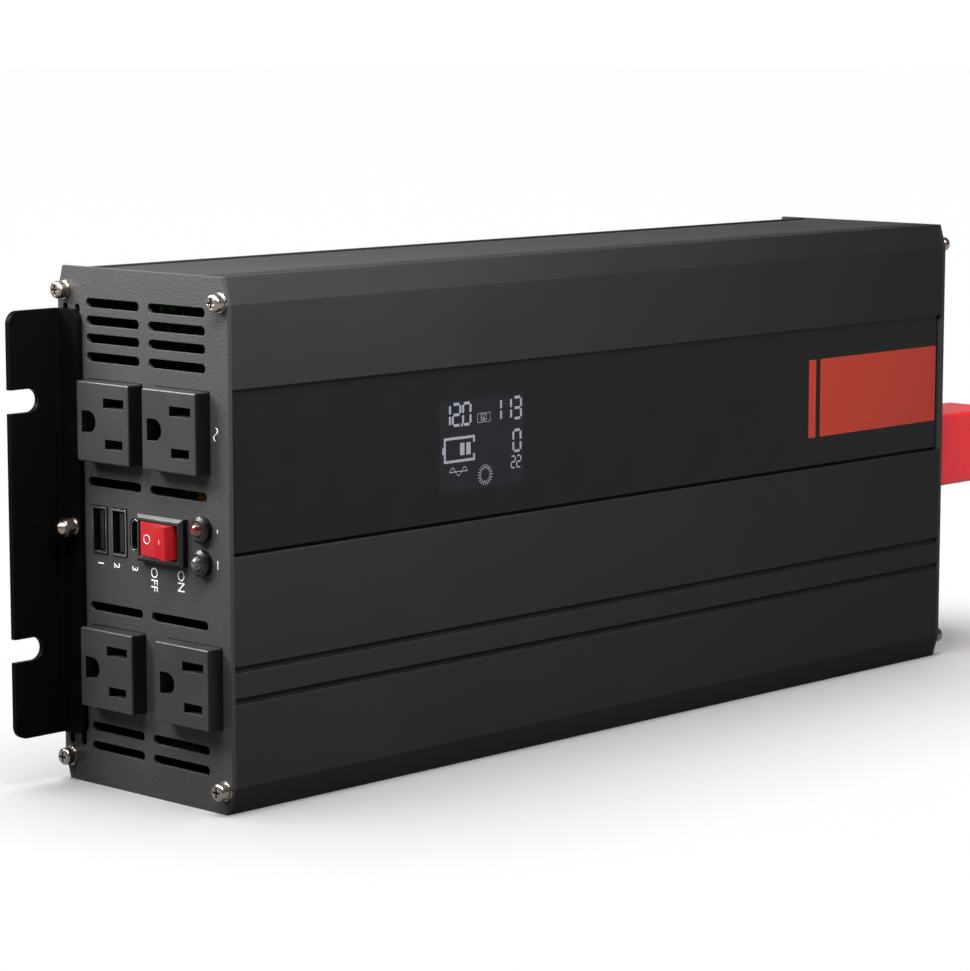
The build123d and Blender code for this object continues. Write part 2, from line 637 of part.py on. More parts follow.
def display():
    """Display glass in the window of the shell, and the small board that carries it."""
    x0, x1 = OUT_X + DISPLAY_START, OUT_X + DISPLAY_START + DISPLAY_LENGTH
    z0, z1 = DISPLAY_LOW, DISPLAY_LOW + DISPLAY_HEIGHT
    gap = SEAT_CLEARANCE
    back = LABEL_FLOOR + LABEL_BACKING + SEAT_CLEARANCE
    glass = block(x0 + gap, x1 - gap, LABEL_FLOOR, back, z0 + gap, z1 - gap)
    margin = DISPLAY_BOARD_MARGIN
    board = block(x0 - margin, x1 + margin, back, back + BOARD_THICK, z0 - margin, z1 + margin)
    return glass, board


# ---- outlets -------------------------------------------------------------------------
def ground_outline(depth, z):
    """D-shaped ground hole: flat towards the mounting face, round towards the blades."""
    flat = rect(depth, depth + GROUND_FLAT, z - GROUND_RADIUS, z + GROUND_RADIUS)
    return (disc(depth, z, GROUND_RADIUS) & rect(depth - 2 * GROUND_RADIUS, depth + GROUND_FLAT,
                                                 z - GROUND_RADIUS, z + GROUND_RADIUS)) + flat


def blades(z):
    """Height and length of an outlet's two blade slots: neutral above, live below."""
    half = BLADE_SPACING / 2
    return [(z + half, NEUTRAL_LENGTH), (z - half, HOT_LENGTH)]


def outlet(depth, z):
    """One snap-in mains outlet, with its three slots and the pockets of its contacts."""
    middle = depth + OUTLET_OFFSET
    face_x = OUT_X - OUTLET_PROUD
    size_d, size_z = OUTLET_FACE_DEPTH, OUTLET_FACE_HEIGHT
    body = along_x(rect_about(middle, z, size_d, size_z), face_x, SHELL_START)
    body = fillet(body.edges().filter_by(Axis.X), OUTLET_CORNER)
    body = fillet(body.faces().sort_by(Axis.X)[0].edges(), OUTLET_EDGE)
    grow = 2 * OUTLET_FLANGE_EXTRA
    flange = rect_about(middle, z, size_d + grow, size_z + grow)
    body += along_x(flange, SHELL_START, SHELL_START + OUTLET_FLANGE_THICK)
    shrink = 2 * OUTLET_BODY_INSET
    back = rect_about(middle, z, size_d - shrink, size_z - shrink)
    body += along_x(back, SHELL_START, SHELL_START + OUTLET_BODY_LENGTH)
    slots = ground_outline(depth + GROUND_OFFSET, z)
    pockets = []
    for height, length in blades(z):
        slots += rect_about(depth, height, length, BLADE_WIDTH)
        pockets.append(rect_about(depth, height, length, CONTACT_POCKET))
    body -= along_x(slots, face_x - PAST, face_x + SLOT_REACH)
    for pocket in pockets:
        body -= along_x(pocket, face_x + CONTACT_START, face_x + SLOT_REACH)
    return body


def outlet_contacts():
    """Pairs of spring leaves on both sides of every blade slot."""
    pieces = []
    face_x = OUT_X - OUTLET_PROUD
    start = face_x + CONTACT_START + CONTACT_CLEARANCE
    for depth, z in OUTLETS.values():
        for height, length in blades(z):
            size = length - 2 * CONTACT_CLEARANCE
            for side in (-1, 1):
                middle = height + side * (CONTACT_POCKET - CONTACT_THICK) / 2
                leaf = rect_about(depth, middle, size, CONTACT_THICK)
                pieces.append(along_x(leaf, start, face_x + SLOT_REACH))
    return group(pieces)


# ---- controls ------------------------------------------------------------------------
def usb_c_outline(grow=0.0):
    """Outline of the small oval port."""
    return Pos(at_depth(USB_C_PLACE), CONTROL_HEIGHT) * SlotOverall(
        USB_C_HEIGHT + 2 * grow, USB_C_WIDTH + 2 * grow, rotation=90)


def usb_ports():
    """Metal shells of the two large ports and the oval one."""
    pieces = []
    back = OUT_X + USB_LENGTH
    for depth in USB_PORTS:
        outer = rect_about(depth, CONTROL_HEIGHT, USB_WIDTH, USB_HEIGHT)
        inner = rect_about(depth, CONTROL_HEIGHT, USB_WIDTH - 2 * USB_WALL, USB_HEIGHT - 2 * USB_WALL)
        pieces.append(along_x(outer - inner, OUT_X - USB_PROUD, back))
    ring = usb_c_outline() - usb_c_outline(-USB_C_WALL)
    pieces.append(along_x(ring, OUT_X + USB_C_SET, back))
    return group(pieces)


def usb_tongues():
    """Moulded tongues inside the ports, each on the block that closes its port's back."""
    pieces = []
    back = OUT_X + USB_LENGTH
    front = back - USB_BLOCK
    inner_d, inner_z = USB_WIDTH - 2 * USB_WALL, USB_HEIGHT - 2 * USB_WALL
    for depth in USB_PORTS:
        plug = along_x(rect_about(depth, CONTROL_HEIGHT, inner_d, inner_z), front, back)
        tongue = rect_about(depth - USB_TONGUE_SHIFT, CONTROL_HEIGHT, USB_TONGUE_THICK,
                            inner_z - 2 * USB_TONGUE_SIDE)
        pieces.append(plug + along_x(tongue, OUT_X + USB_TONGUE_SET, front))
    plug = along_x(usb_c_outline(-USB_C_WALL), front, back)
    tongue = rect_about(USB_C_PLACE, CONTROL_HEIGHT, USB_C_TONGUE_THICK,
                        USB_C_HEIGHT - 2 * USB_C_TONGUE_SIDE)
    pieces.append(plug + along_x(tongue, OUT_X + USB_C_TONGUE_SET, front))
    return group(pieces)


def usb_board():
    """Charging board behind the ports, with its driver chip and small choke."""
    x0 = OUT_X + USB_LENGTH
    chip_x = x0 + BOARD_THICK
    margin = USB_WIDTH / 2 + CHARGER_MARGIN
    half = USB_HEIGHT / 2 + CHARGER_MARGIN
    board = block(x0, chip_x, USB_C_PLACE - CHARGER_MARGIN, USB_PORTS[0] + margin,
                  CONTROL_HEIGHT - half, CONTROL_HEIGHT + half)
    chip = rect_about(USB_PORTS[1], CONTROL_HEIGHT, CHARGER_CHIP, CHARGER_CHIP)
    coil = rect_about(USB_PORTS[0], CONTROL_HEIGHT, CHARGER_COIL, CHARGER_COIL)
    board += along_x(chip, chip_x, chip_x + CHARGER_CHIP_THICK)
    return board + along_x(coil, chip_x, chip_x + CHARGER_COIL_HEIGHT)


def switch_frame():
    """Rocker switch housing: bevelled bezel outside the panel, hollow body inside it."""
    depth, z = SWITCH_PLACE, CONTROL_HEIGHT
    front, back = OUT_X - BEZEL_PROUD, OUT_X + SWITCH_BODY_REACH
    bezel = along_x(rect_about(depth, z, BEZEL_LENGTH, BEZEL_HEIGHT), front, OUT_X)
    bezel = chamfer(bezel.faces().sort_by(Axis.X)[0].edges(), BEZEL_TAPER)
    body = along_x(rect_about(depth, z, SWITCH_BODY_LENGTH, SWITCH_BODY_HEIGHT), OUT_X, back)
    inner_z = ROCKER_WIDTH + 2 * ROCKER_SIDE_GAP
    hollow = along_x(rect_about(depth, z, ROCKER_OPENING, inner_z), front - PAST, back - SWITCH_FLOOR)
    socket = inner_z + 2 * (PIVOT_REACH + PIVOT_END_CLEARANCE)
    pivot = Pos(OUT_X, at_depth(depth), z) * Cylinder(PIVOT_RADIUS + PIVOT_CLEARANCE, socket)
    return bezel + body - hollow - pivot


def switch_rocker():
    """Rocker with a shallow V top, tilted to the side that is pressed at rest, and its pins."""
    top, mid, half = ROCKER_END_HEIGHT, ROCKER_MID_HEIGHT, ROCKER_HALF_TOP
    waist, foot = half - ROCKER_SHOULDER, half - ROCKER_TAPER
    points = [(-top, half), (-mid, 0), (-top, -half), (0, -waist),
              (ROCKER_REACH, -foot), (ROCKER_REACH, foot), (0, waist)]
    section = Polygon(*points, align=None)
    body = extrude(Plane.XY.offset(-ROCKER_WIDTH / 2) * section, ROCKER_WIDTH)
    ends = body.edges().filter_by(Axis.Z).group_by(Axis.X)[0]
    body = fillet(ends, ROCKER_ROUND)
    body += Cylinder(PIVOT_RADIUS, ROCKER_WIDTH + 2 * (ROCKER_SIDE_GAP + PIVOT_REACH))
    return Pos(OUT_X, at_depth(SWITCH_PLACE), CONTROL_HEIGHT) * Rot(0, 0, -ROCKER_TILT) * body


def switch_tabs():
    """Three spade tabs on the back of the switch."""
    back = OUT_X + SWITCH_BODY_REACH
    places = (SWITCH_PLACE - TAB_PITCH, SWITCH_PLACE, SWITCH_PLACE + TAB_PITCH)
    tabs = [rect_about(place, CONTROL_HEIGHT, TAB_THICK, TAB_WIDTH) for place in places]
    return group([along_x(tab, back, back + TAB_LENGTH) for tab in tabs])


def lamp_holder(z):
    """Round snap-in holder of one indicator lamp."""
    front = OUT_X - LAMP_RING_PROUD
    ring = rod(front, OUT_X, LAMP_PLACE, z, LAMP_RING_RADIUS)
    rim = ring.edges().filter_by(GeomType.CIRCLE).group_by(Axis.X)[0]
    ring = chamfer(rim, LAMP_RING_TAPER)
    barrel = rod(OUT_X, OUT_X + LAMP_REACH, LAMP_PLACE, z, LAMP_BARREL_RADIUS)
    bore = rod(front - PAST, OUT_X + LAMP_REACH + PAST, LAMP_PLACE, z, LAMP_LENS_RADIUS)
    return ring + barrel - bore


def lamp(z):
    """Domed lamp that fills its holder, with two leads behind."""
    front = OUT_X - LAMP_RING_PROUD + LAMP_DOME_SET
    back = OUT_X + LAMP_REACH
    lens = rod(front, back, LAMP_PLACE, z, LAMP_LENS_RADIUS)
    lens += Pos(front, at_depth(LAMP_PLACE), z) * Sphere(LAMP_LENS_RADIUS)
    for side in (-1, 1):
        lens += rod(back, back + LEAD_LENGTH, LAMP_PLACE + side * LEAD_PITCH / 2, z, LEAD_RADIUS)
    return lens


# ---- direct-current end --------------------------------------------------------------
def fan_frame(z):
    """Square fan frame: round duct, motor carrier and struts, seated on the fan panel."""
    front = SHELL_END
    back = front - FAN_THICK
    frame = along_x(rect_about(FAN_MIDDLE, z, FAN_SIZE, FAN_SIZE), back, front)
    frame = fillet(frame.edges().filter_by(Axis.X), FAN_CORNER)
    frame -= rod(back - PAST, front + PAST, FAN_MIDDLE, z, FAN_BORE_RADIUS)
    carrier = rod(back, back + FAN_BACK_THICK, FAN_MIDDLE, z, HUB_RADIUS)
    strut = block(back, back + FAN_BACK_THICK, FAN_MIDDLE,
                  FAN_MIDDLE + FAN_BORE_RADIUS + STRUT_OVERLAP,
                  z - FAN_STRUT_WIDTH / 2, z + FAN_STRUT_WIDTH / 2)
    axis = Axis((0, at_depth(FAN_MIDDLE), z), (1, 0, 0))
    for index in range(FAN_STRUT_COUNT):
        carrier += strut.rotate(axis, FAN_STRUT_TURN + 360.0 / FAN_STRUT_COUNT * index)
    frame += carrier
    frame -= rod(back - PAST, back + FAN_BACK_THICK + PAST, FAN_MIDDLE, z,
                 FAN_SHAFT_RADIUS + PIVOT_CLEARANCE)
    for depth, height in fan_corners(z):
        frame -= rod(back - PAST, front + PAST, depth, height, SCREW_RADIUS)
    return frame


def fan_blade():
    """One blade along +Z: a thin strip lofted from hub to tip, twisted along its span."""
    sections = []
    ends = ((HUB_RADIUS - BLADE_SINK, BLADE_ROOT_CHORD, BLADE_ROOT_PITCH),
            (ROTOR_RADIUS, BLADE_TIP_CHORD, BLADE_TIP_PITCH))
    for radius, chord, pitch in ends:
        strip = Rot(0, 0, -pitch) * Rectangle(BLADE_THICK, chord)
        sections.append(Plane.XY.offset(radius) * strip)
    return loft(sections)


def fan_rotor(z):
    """Fan rotor: rounded hub, shaft and twisted blades."""
    back = SHELL_END - FAN_THICK + FAN_BACK_THICK + ROTOR_LIFT
    front = back + HUB_LENGTH
    hub = along_x(Circle(HUB_RADIUS), back, front)
    rim = hub.edges().filter_by(GeomType.CIRCLE).group_by(Axis.X)[-1]
    rotor = fillet(rim, HUB_ROUND)
    rotor += along_x(Circle(FAN_SHAFT_RADIUS), back - FAN_BACK_THICK - ROTOR_LIFT / 2, back)
    swept = along_x(Circle(ROTOR_RADIUS), back + BLADE_MARGIN, front - BLADE_MARGIN)
    blade = Pos((back + front) / 2, 0, 0) * fan_blade() & swept
    for index in range(BLADE_COUNT):
        rotor += blade.rotate(Axis.X, 360.0 / BLADE_COUNT * index)
    return Pos(0, at_depth(FAN_MIDDLE), z) * rotor


def fan_guard(z):
    """Wire finger guard: rings on a cross whose four feet lie under the fan screws."""
    x0, x1 = FAN_X, FAN_X + GUARD_WIRE
    guard = []
    for radius in GUARD_RINGS:
        ring = disc(FAN_MIDDLE, z, radius + GUARD_WIRE) - disc(FAN_MIDDLE, z, radius - GUARD_WIRE)
        guard.append(along_x(ring, x1, x1 + 2 * GUARD_WIRE))
    arm = Rectangle(hypot(FAN_HOLE_SPACING, FAN_HOLE_SPACING), 2 * GUARD_WIRE)
    cross = Pos(at_depth(FAN_MIDDLE), z) * (Rot(0, 0, 45) * arm + Rot(0, 0, -45) * arm)
    for depth, height in fan_corners(z):
        cross += disc(depth, height, WASHER_RADIUS)
    for depth, height in fan_corners(z):
        cross -= screw_hole(depth, height)
    return along_x(cross, x0, x1) + guard


def fan_screws():
    """Screws through the guards and the panel into the two fan frames."""
    pieces = []
    for z in fan_middles().values():
        for depth, height in fan_corners(z):
            screw = mirrored(pan_head_screw(depth, height))
            pieces.append(Pos(GUARD_WIRE, 0, 0) * screw)
    return group(pieces)


def cover_section(shrink, corner):
    """Rectangle of a terminal cover around a stud at the plane's origin."""
    return RectangleRounded(COVER_DEPTH - 2 * shrink, COVER_HEIGHT - 2 * shrink, corner)


def terminal_cover(depth):
    """Hollow slip-on cover, open towards the panel, with a round mouth for the cable."""
    place = Pos(at_depth(depth), TERMINAL_HEIGHT)
    start = FAN_X + COVER_SEAT
    end = start + COVER_LENGTH
    cover = along_x(place * cover_section(0, COVER_CORNER), start, end)
    rim = cover.faces().sort_by(Axis.X)[-1].edges()
    cover = fillet(rim, COVER_RIM_ROUND)
    inside = place * cover_section(COVER_WALL, COVER_INNER_CORNER)
    cover -= along_x(inside, start - PAST, end - COVER_WALL)
    return cover - rod(end - COVER_WALL - PAST, end + PAST, depth, TERMINAL_HEIGHT, COVER_MOUTH_RADIUS)


def terminal_insulator(depth):
    """Insulating block between the stud and the panel, with a collar in the panel's hole."""
    place = Pos(at_depth(depth), TERMINAL_HEIGHT)
    outside = place * cover_section(COVER_WALL + COVER_SLIP, COVER_INNER_CORNER)
    insulator = along_x(outside, FAN_X, TERMINAL_SEAT)
    inner = SHELL_END - INSULATOR_COLLAR
    insulator += rod(inner, FAN_X, depth, TERMINAL_HEIGHT, TERMINAL_WASHER_RADIUS)
    return insulator - rod(inner - PAST, TERMINAL_SEAT + PAST, depth, TERMINAL_HEIGHT, STUD_ROOT_RADIUS)


def terminal_stud(depth):
    """Stepped brass stud: a thick root from the bus bar through its nut, then a free end."""
    root = rod(STUD_END, TERMINAL_NUT_TOP, depth, TERMINAL_HEIGHT, STUD_ROOT_RADIUS)
    return root + rod(TERMINAL_NUT_TOP, FAN_X + STUD_LENGTH, depth, TERMINAL_HEIGHT, STUD_RADIUS)


def terminal_nut(depth):
    """Washer and hexagon nut of one stud, seated on the insulator."""
    face = TERMINAL_SEAT + TERMINAL_WASHER_THICK
    top = TERMINAL_NUT_TOP
    nut = rod(TERMINAL_SEAT, face, depth, TERMINAL_HEIGHT, TERMINAL_WASHER_RADIUS)
    nut += along_x(hexagon(depth, TERMINAL_HEIGHT, TERMINAL_NUT_FLATS), face, top)
    return nut - rod(TERMINAL_SEAT - PAST, top + PAST, depth, TERMINAL_HEIGHT, STUD_ROOT_RADIUS)


def bus_bars():
    """Copper bars from the studs' inner ends back to the main board."""
    end = STUD_END
    start = BOARD_END_X - BUS_FOOT
    half = BUS_WIDTH / 2
    front, rear = TERMINAL_PLACES
    z = TERMINAL_HEIGHT
    aside = z + BUS_WIDTH + BUS_SPACE
    plate = rect(front - half, front + half, z - half, aside + half)
    plate += rect(front - half, BOARD_FRONT, aside - half, aside + half)
    positive = along_x(plate, end - BUS_SHEET, end)
    positive += block(start, end, BOARD_FRONT - BUS_SHEET, BOARD_FRONT, aside - half, aside + half)
    negative = block(end - BUS_SHEET, end, rear - half, BOARD_FRONT, z - half, z + half)
    negative += block(start, end, BOARD_FRONT - BUS_SHEET, BOARD_FRONT, z - half, z + half)
    return group([positive, negative])


# ---- electronics ---------------------------------------------------------------------
def on_board(x0, x1, height, z0, z1, lift=0.0):
    """Block that stands on the main board, reaching towards the front face."""
    return block(x0, x1, BOARD_FRONT - lift - height, BOARD_FRONT - lift, z0, z1)


def can_on_board(x, z, radius, length):
    """Round part standing on the main board, reaching towards the front face."""
    face = Plane.XZ.offset(-at_depth(BOARD_FRONT)) * (Pos(x, z) * Circle(radius))
    return extrude(face, length)


def main_board():
    """Main circuit board, parallel to the mounting face."""
    return block(BOARD_X, BOARD_END_X, BOARD_FRONT, BOARD_BACK, BOARD_EDGE, CASE_HEIGHT - BOARD_EDGE)


def board_standoffs():
    """Round standoffs between the base and the board."""
    pieces = []
    edge = BOARD_EDGE + STANDOFF_EDGE
    for x in (BOARD_X + STANDOFF_INSET, (BOARD_X + BOARD_END_X) / 2, BOARD_END_X - STANDOFF_INSET):
        for z in (edge, CASE_HEIGHT - edge):
            foot = Plane.XZ.offset(-at_depth(BOARD_BACK)) * (Pos(x, z) * Circle(STANDOFF_RADIUS))
            pieces.append(extrude(foot, -STANDOFF_HEIGHT))
    return group(pieces)


def transformer_middles():
    """Heights of the transformers' middles."""
    first = MIDDLE_Z - TRANSFORMER_PITCH * (TRANSFORMER_COUNT - 1) / 2
    return [first + TRANSFORMER_PITCH * index for index in range(TRANSFORMER_COUNT)]


def transformer(z):
    """One transformer: closed core frame with a middle leg, and the taped winding around it."""
    x = TRANSFORMER_X
    gap = SEAT_CLEARANCE
    margin = (CORE_HEIGHT - WINDING_HEIGHT) / 2
    half, half_z = CORE_LENGTH / 2, CORE_WIDTH / 2
    core = on_board(x - half, x + half, CORE_HEIGHT, z - half_z, z + half_z)
    half = WINDING_LENGTH / 2
    core -= on_board(x - half - gap, x + half + gap, WINDING_HEIGHT + 2 * gap,
                     z - half_z - PAST, z + half_z + PAST, lift=margin - gap)
    leg = CORE_LEG / 2
    core += on_board(x - leg, x + leg, CORE_HEIGHT - margin, z - half_z, z + half_z, lift=margin / 2)
    winding = on_board(x - half, x + half, WINDING_HEIGHT, z - WINDING_WIDTH / 2,
                       z + WINDING_WIDTH / 2, lift=margin)
    winding = fillet(winding.edges().filter_by(Axis.Y), WINDING_ROUND)
    winding -= on_board(x - leg - gap, x + leg + gap, CORE_HEIGHT, z - half_z - gap, z + half_z + gap)
    return core, winding


def input_capacitors():
    """Row of input capacitors beside the transformers."""
    x = TRANSFORMER_X + CORE_LENGTH / 2 + CAP_SPACE + CAP_RADIUS
    pitch = 2 * CAP_RADIUS + CAP_APART
    first = MIDDLE_Z - pitch * (CAP_COUNT - 1) / 2
    pieces = []
    for index in range(CAP_COUNT):
        can = can_on_board(x, first + pitch * index, CAP_RADIUS, CAP_LENGTH)
        pieces.append(chamfer(can.edges().filter_by(GeomType.CIRCLE), CAP_CHAMFER))
    return group(pieces)


def bulk_capacitors():
    """Two large high-voltage capacitors."""
    x = TRANSFORMER_X - CORE_LENGTH / 2 - BULK_CAP_SPACE - BULK_CAP_RADIUS
    apart = BULK_CAP_RADIUS + BULK_CAP_APART / 2
    pieces = []
    for z in (MIDDLE_Z - apart, MIDDLE_Z + apart):
        can = can_on_board(x, z, BULK_CAP_RADIUS, BULK_CAP_LENGTH)
        pieces.append(chamfer(can.edges().filter_by(GeomType.CIRCLE), BULK_CAP_CHAMFER))
    return group(pieces)


def output_choke():
    """Ring-shaped output choke lying on the board."""
    x = BOARD_X + CHOKE_SPACE + CHOKE_RADIUS
    ring = can_on_board(x, MIDDLE_Z, CHOKE_RADIUS, CHOKE_HEIGHT)
    ring -= can_on_board(x, MIDDLE_Z, CHOKE_HOLE, CHOKE_HEIGHT)
    return chamfer(ring.edges().filter_by(GeomType.CIRCLE), CHOKE_CHAMFER)


def filter_block():
    """Boxed film capacitor and relay between the choke and the outlets."""
    x = BOARD_X + FILTER_START
    away = CHOKE_RADIUS + FILTER_SPACE
    film = on_board(x, x + FILM_LENGTH, FILM_HEIGHT, MIDDLE_Z + away, MIDDLE_Z + away + FILM_WIDTH)
    relay = on_board(x, x + RELAY_LENGTH, RELAY_HEIGHT, MIDDLE_Z - away - RELAY_WIDTH, MIDDLE_Z - away)
    return group([film, relay])


def heat_bars():
    """Aluminium bars on the base's side walls that cool the transistor rows."""
    x0 = OUT_X + HEAT_BAR_MIDDLE - HEAT_BAR_LENGTH / 2
    x1 = x0 + HEAT_BAR_LENGTH
    lower = on_board(x0, x1, HEAT_BAR_DEPTH, SIDE_LOW, SIDE_LOW + HEAT_BAR_THICK, lift=HEAT_BAR_LIFT)
    upper = on_board(x0, x1, HEAT_BAR_DEPTH, SIDE_HIGH - HEAT_BAR_THICK, SIDE_HIGH, lift=HEAT_BAR_LIFT)
    return group([lower, upper])


def transistor(x, wall, side):
    """One power transistor on a heat bar's face, with three legs down to the board."""
    low, high = sorted((wall, wall + side * TRANSISTOR_THICK))
    half = TRANSISTOR_WIDTH / 2
    body = on_board(x - half, x + half, TRANSISTOR_HEIGHT, low, high, lift=LEG_LENGTH)
    low, high = sorted((wall + side * LEG_SET, wall + side * (LEG_SET + LEG_WIDTH)))
    half = LEG_WIDTH / 2
    for place in (x - LEG_PITCH, x, x + LEG_PITCH):
        body += on_board(place - half, place + half, LEG_LENGTH, low, high)
    return body


def transistors():
    """Rows of power transistors clamped to the two heat bars."""
    pieces = []
    first = OUT_X + HEAT_BAR_MIDDLE - TRANSISTOR_PITCH * (TRANSISTOR_COUNT - 1) / 2
    for index in range(TRANSISTOR_COUNT):
        x = first + TRANSISTOR_PITCH * index
        pieces.append(transistor(x, SIDE_LOW + HEAT_BAR_THICK, 1))
        pieces.append(transistor(x, SIDE_HIGH - HEAT_BAR_THICK, -1))
    return group(pieces)


def control_board():
    """Upright control board standing on the main board, with its controller chip."""
    x = TRANSFORMER_X - CONTROL_BOARD_PLACE
    half = CONTROL_BOARD_WIDTH / 2
    board = on_board(x, x + BOARD_THICK, CONTROL_BOARD_HEIGHT, MIDDLE_Z - half, MIDDLE_Z + half)
    half = CONTROL_CHIP_WIDTH / 2
    lift = (CONTROL_BOARD_HEIGHT - CONTROL_CHIP_HEIGHT) / 2
    return board + on_board(x - CONTROL_CHIP_THICK, x, CONTROL_CHIP_HEIGHT, MIDDLE_Z - half,
                            MIDDLE_Z + half, lift=lift)


def blade_fuses():
    """Rows of blade fuses on both sides of the bus bars."""
    x1 = BOARD_END_X - FUSE_INSET
    pieces = []
    above = TERMINAL_HEIGHT + 1.5 * BUS_WIDTH + BUS_SPACE + FUSE_SPACE
    below = TERMINAL_HEIGHT - BUS_WIDTH / 2 - FUSE_SPACE - FUSE_THICK
    for index in range(FUSE_COUNT):
        for z in (above + index * FUSE_PITCH, below - index * FUSE_PITCH):
            pieces.append(on_board(x1 - FUSE_LENGTH, x1, FUSE_HEIGHT, z, z + FUSE_THICK))
    return group(pieces)


def outlet_wires(shift_depth, shift_height):
    """Insulated wires from the same contact of every outlet back to the main board."""
    pieces = []
    start = SHELL_START + OUTLET_BODY_LENGTH
    for name, (depth, z) in OUTLETS.items():
        row = name.split("_")[-1]
        end = BOARD_X + WIRE_ENDS[row]
        depth, z = depth + shift_depth, z + shift_height
        points = [(start, at_depth(depth), z), (end, at_depth(depth), z),
                  (end, at_depth(BOARD_FRONT), z)]
        path = FilletPolyline(*points, radius=WIRE_BEND)
        pieces.append(sweep(Plane(path @ 0, z_dir=path % 0) * Circle(WIRE_RADIUS), path=path))
    return group(pieces)


def case_nodes():
    """Shells, panels, brackets and their fasteners."""
    stud, nut = bracket_fixing()
    near_bracket, near_screws = bracket(), panel_screws()
    return {
        "front_shell": front_shell(),
        "rear_base": rear_base(),
        "outlet_panel": outlet_panel(),
        "fan_panel": fan_panel(),
        "outlet_end_bracket": near_bracket,
        "fan_end_bracket": mirrored(near_bracket),
        "outlet_panel_screws": near_screws,
        "fan_panel_screws": mirrored(near_screws),
        "bracket_studs": group([stud, mirrored(stud)]),
        "bracket_nuts": group([nut, mirrored(nut)]),
        "label_strip": label_strip(),
    }


def control_nodes():
    """Display, outlets, charging ports, switch and lamps."""
    glass, display_board = display()
    nodes = {name: outlet(depth, z) for name, (depth, z) in OUTLETS.items()}
    nodes.update({
        "display_glass": glass,
        "display_board": display_board,
        "outlet_contacts": outlet_contacts(),
        "usb_ports": usb_ports(),
        "usb_tongues": usb_tongues(),
        "usb_board": usb_board(),
        "switch_frame": switch_frame(),
        "switch_rocker": switch_rocker(),
        "switch_tabs": switch_tabs(),
        "lamp_holders": group([lamp_holder(z) for z in LAMP_HEIGHTS]),
        "fault_lamp": lamp(LAMP_HEIGHTS[0]),
        "power_lamp": lamp(LAMP_HEIGHTS[1]),
    })
    return nodes


def fan_end_nodes():
    """Fans with their guards, and the two battery terminals with their covers."""
    positive, negative = TERMINAL_PLACES
    nodes = {
        "fan_screws": fan_screws(),
        "terminal_insulators": group([terminal_insulator(depth) for depth in TERMINAL_PLACES]),
        "terminal_nuts": group([terminal_nut(depth) for depth in TERMINAL_PLACES]),
        "positive_stud": terminal_stud(positive),
        "negative_stud": terminal_stud(negative),
        "positive_cover": terminal_cover(positive),
        "negative_cover": terminal_cover(negative),
        "bus_bars": bus_bars(),
    }
    for name, z in fan_middles().items():
        nodes["fan_frame_" + name] = fan_frame(z)
        nodes["fan_rotor_" + name] = fan_rotor(z)
        nodes["fan_guard_" + name] = fan_guard(z)
    return nodes


def electronics_nodes():
    """Main board and what stands on it."""
    cores, windings = zip(*[transformer(z) for z in transformer_middles()])
    half = BLADE_SPACING / 2
    return {
        "main_board": main_board(),
        "board_standoffs": board_standoffs(),
        "transformer_cores": group(cores),
        "transformer_windings": group(windings),
        "input_capacitors": input_capacitors(),
        "bulk_capacitors": bulk_capacitors(),
        "output_choke": output_choke(),
        "filter_block": filter_block(),
        "heat_bars": heat_bars(),
        "transistors": transistors(),
        "control_board": control_board(),
        "blade_fuses": blade_fuses(),
        "neutral_wires": outlet_wires(0, half),
        "line_wires": outlet_wires(0, -half),
        "ground_wires": outlet_wires(GROUND_OFFSET, 0),
    }


os.makedirs("parts", exist_ok=True)
for nodes in (case_nodes(), control_nodes(), fan_end_nodes(), electronics_nodes()):
    for name, shape in nodes.items():
        export_step(shape, f"parts/{name}.step")
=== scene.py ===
"""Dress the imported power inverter: finishes for its CAD pieces, printed marks, display and studio.

Every length is in metres and every place comes from the frame, so a change of the CAD part is
followed here. +X runs from the outlet end to the fan end, -Y is the labelled front face, +Z up.
"""

import json
import logging
import math
from collections.abc import Iterable
from dataclasses import dataclass, field
from enum import Enum
from typing import Any, ClassVar

import bmesh
import bpy
from mathutils import Matrix, Vector


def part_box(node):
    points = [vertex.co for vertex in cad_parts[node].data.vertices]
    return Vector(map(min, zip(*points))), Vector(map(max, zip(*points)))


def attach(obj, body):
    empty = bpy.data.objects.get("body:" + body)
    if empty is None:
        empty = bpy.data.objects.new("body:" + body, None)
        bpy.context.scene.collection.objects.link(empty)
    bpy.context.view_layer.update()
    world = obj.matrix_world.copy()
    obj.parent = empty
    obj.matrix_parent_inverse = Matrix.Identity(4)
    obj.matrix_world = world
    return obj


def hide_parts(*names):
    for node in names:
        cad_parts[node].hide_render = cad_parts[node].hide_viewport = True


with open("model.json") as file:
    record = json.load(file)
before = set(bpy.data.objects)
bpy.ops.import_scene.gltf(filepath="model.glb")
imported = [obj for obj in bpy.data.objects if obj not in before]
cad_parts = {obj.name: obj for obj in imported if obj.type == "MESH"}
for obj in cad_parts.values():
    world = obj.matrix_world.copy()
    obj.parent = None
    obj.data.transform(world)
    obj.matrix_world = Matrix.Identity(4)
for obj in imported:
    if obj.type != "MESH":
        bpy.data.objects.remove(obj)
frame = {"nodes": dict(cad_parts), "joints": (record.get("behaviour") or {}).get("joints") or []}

MM = 0.001
LOG = logging.getLogger("inverter")
Colour = tuple[float, float, float]
Point = tuple[float, float, float]
Spot = tuple[float, float]


class Facing(Enum):
    """The side of the case that a printed mark lies on and faces."""

    FRONT = "front"
    OUTLET_END = "outlet_end"


class Grain(Enum):
    """The direction in which a metal surface is drawn or brushed."""

    NONE = "none"
    LENGTHWISE = "x"


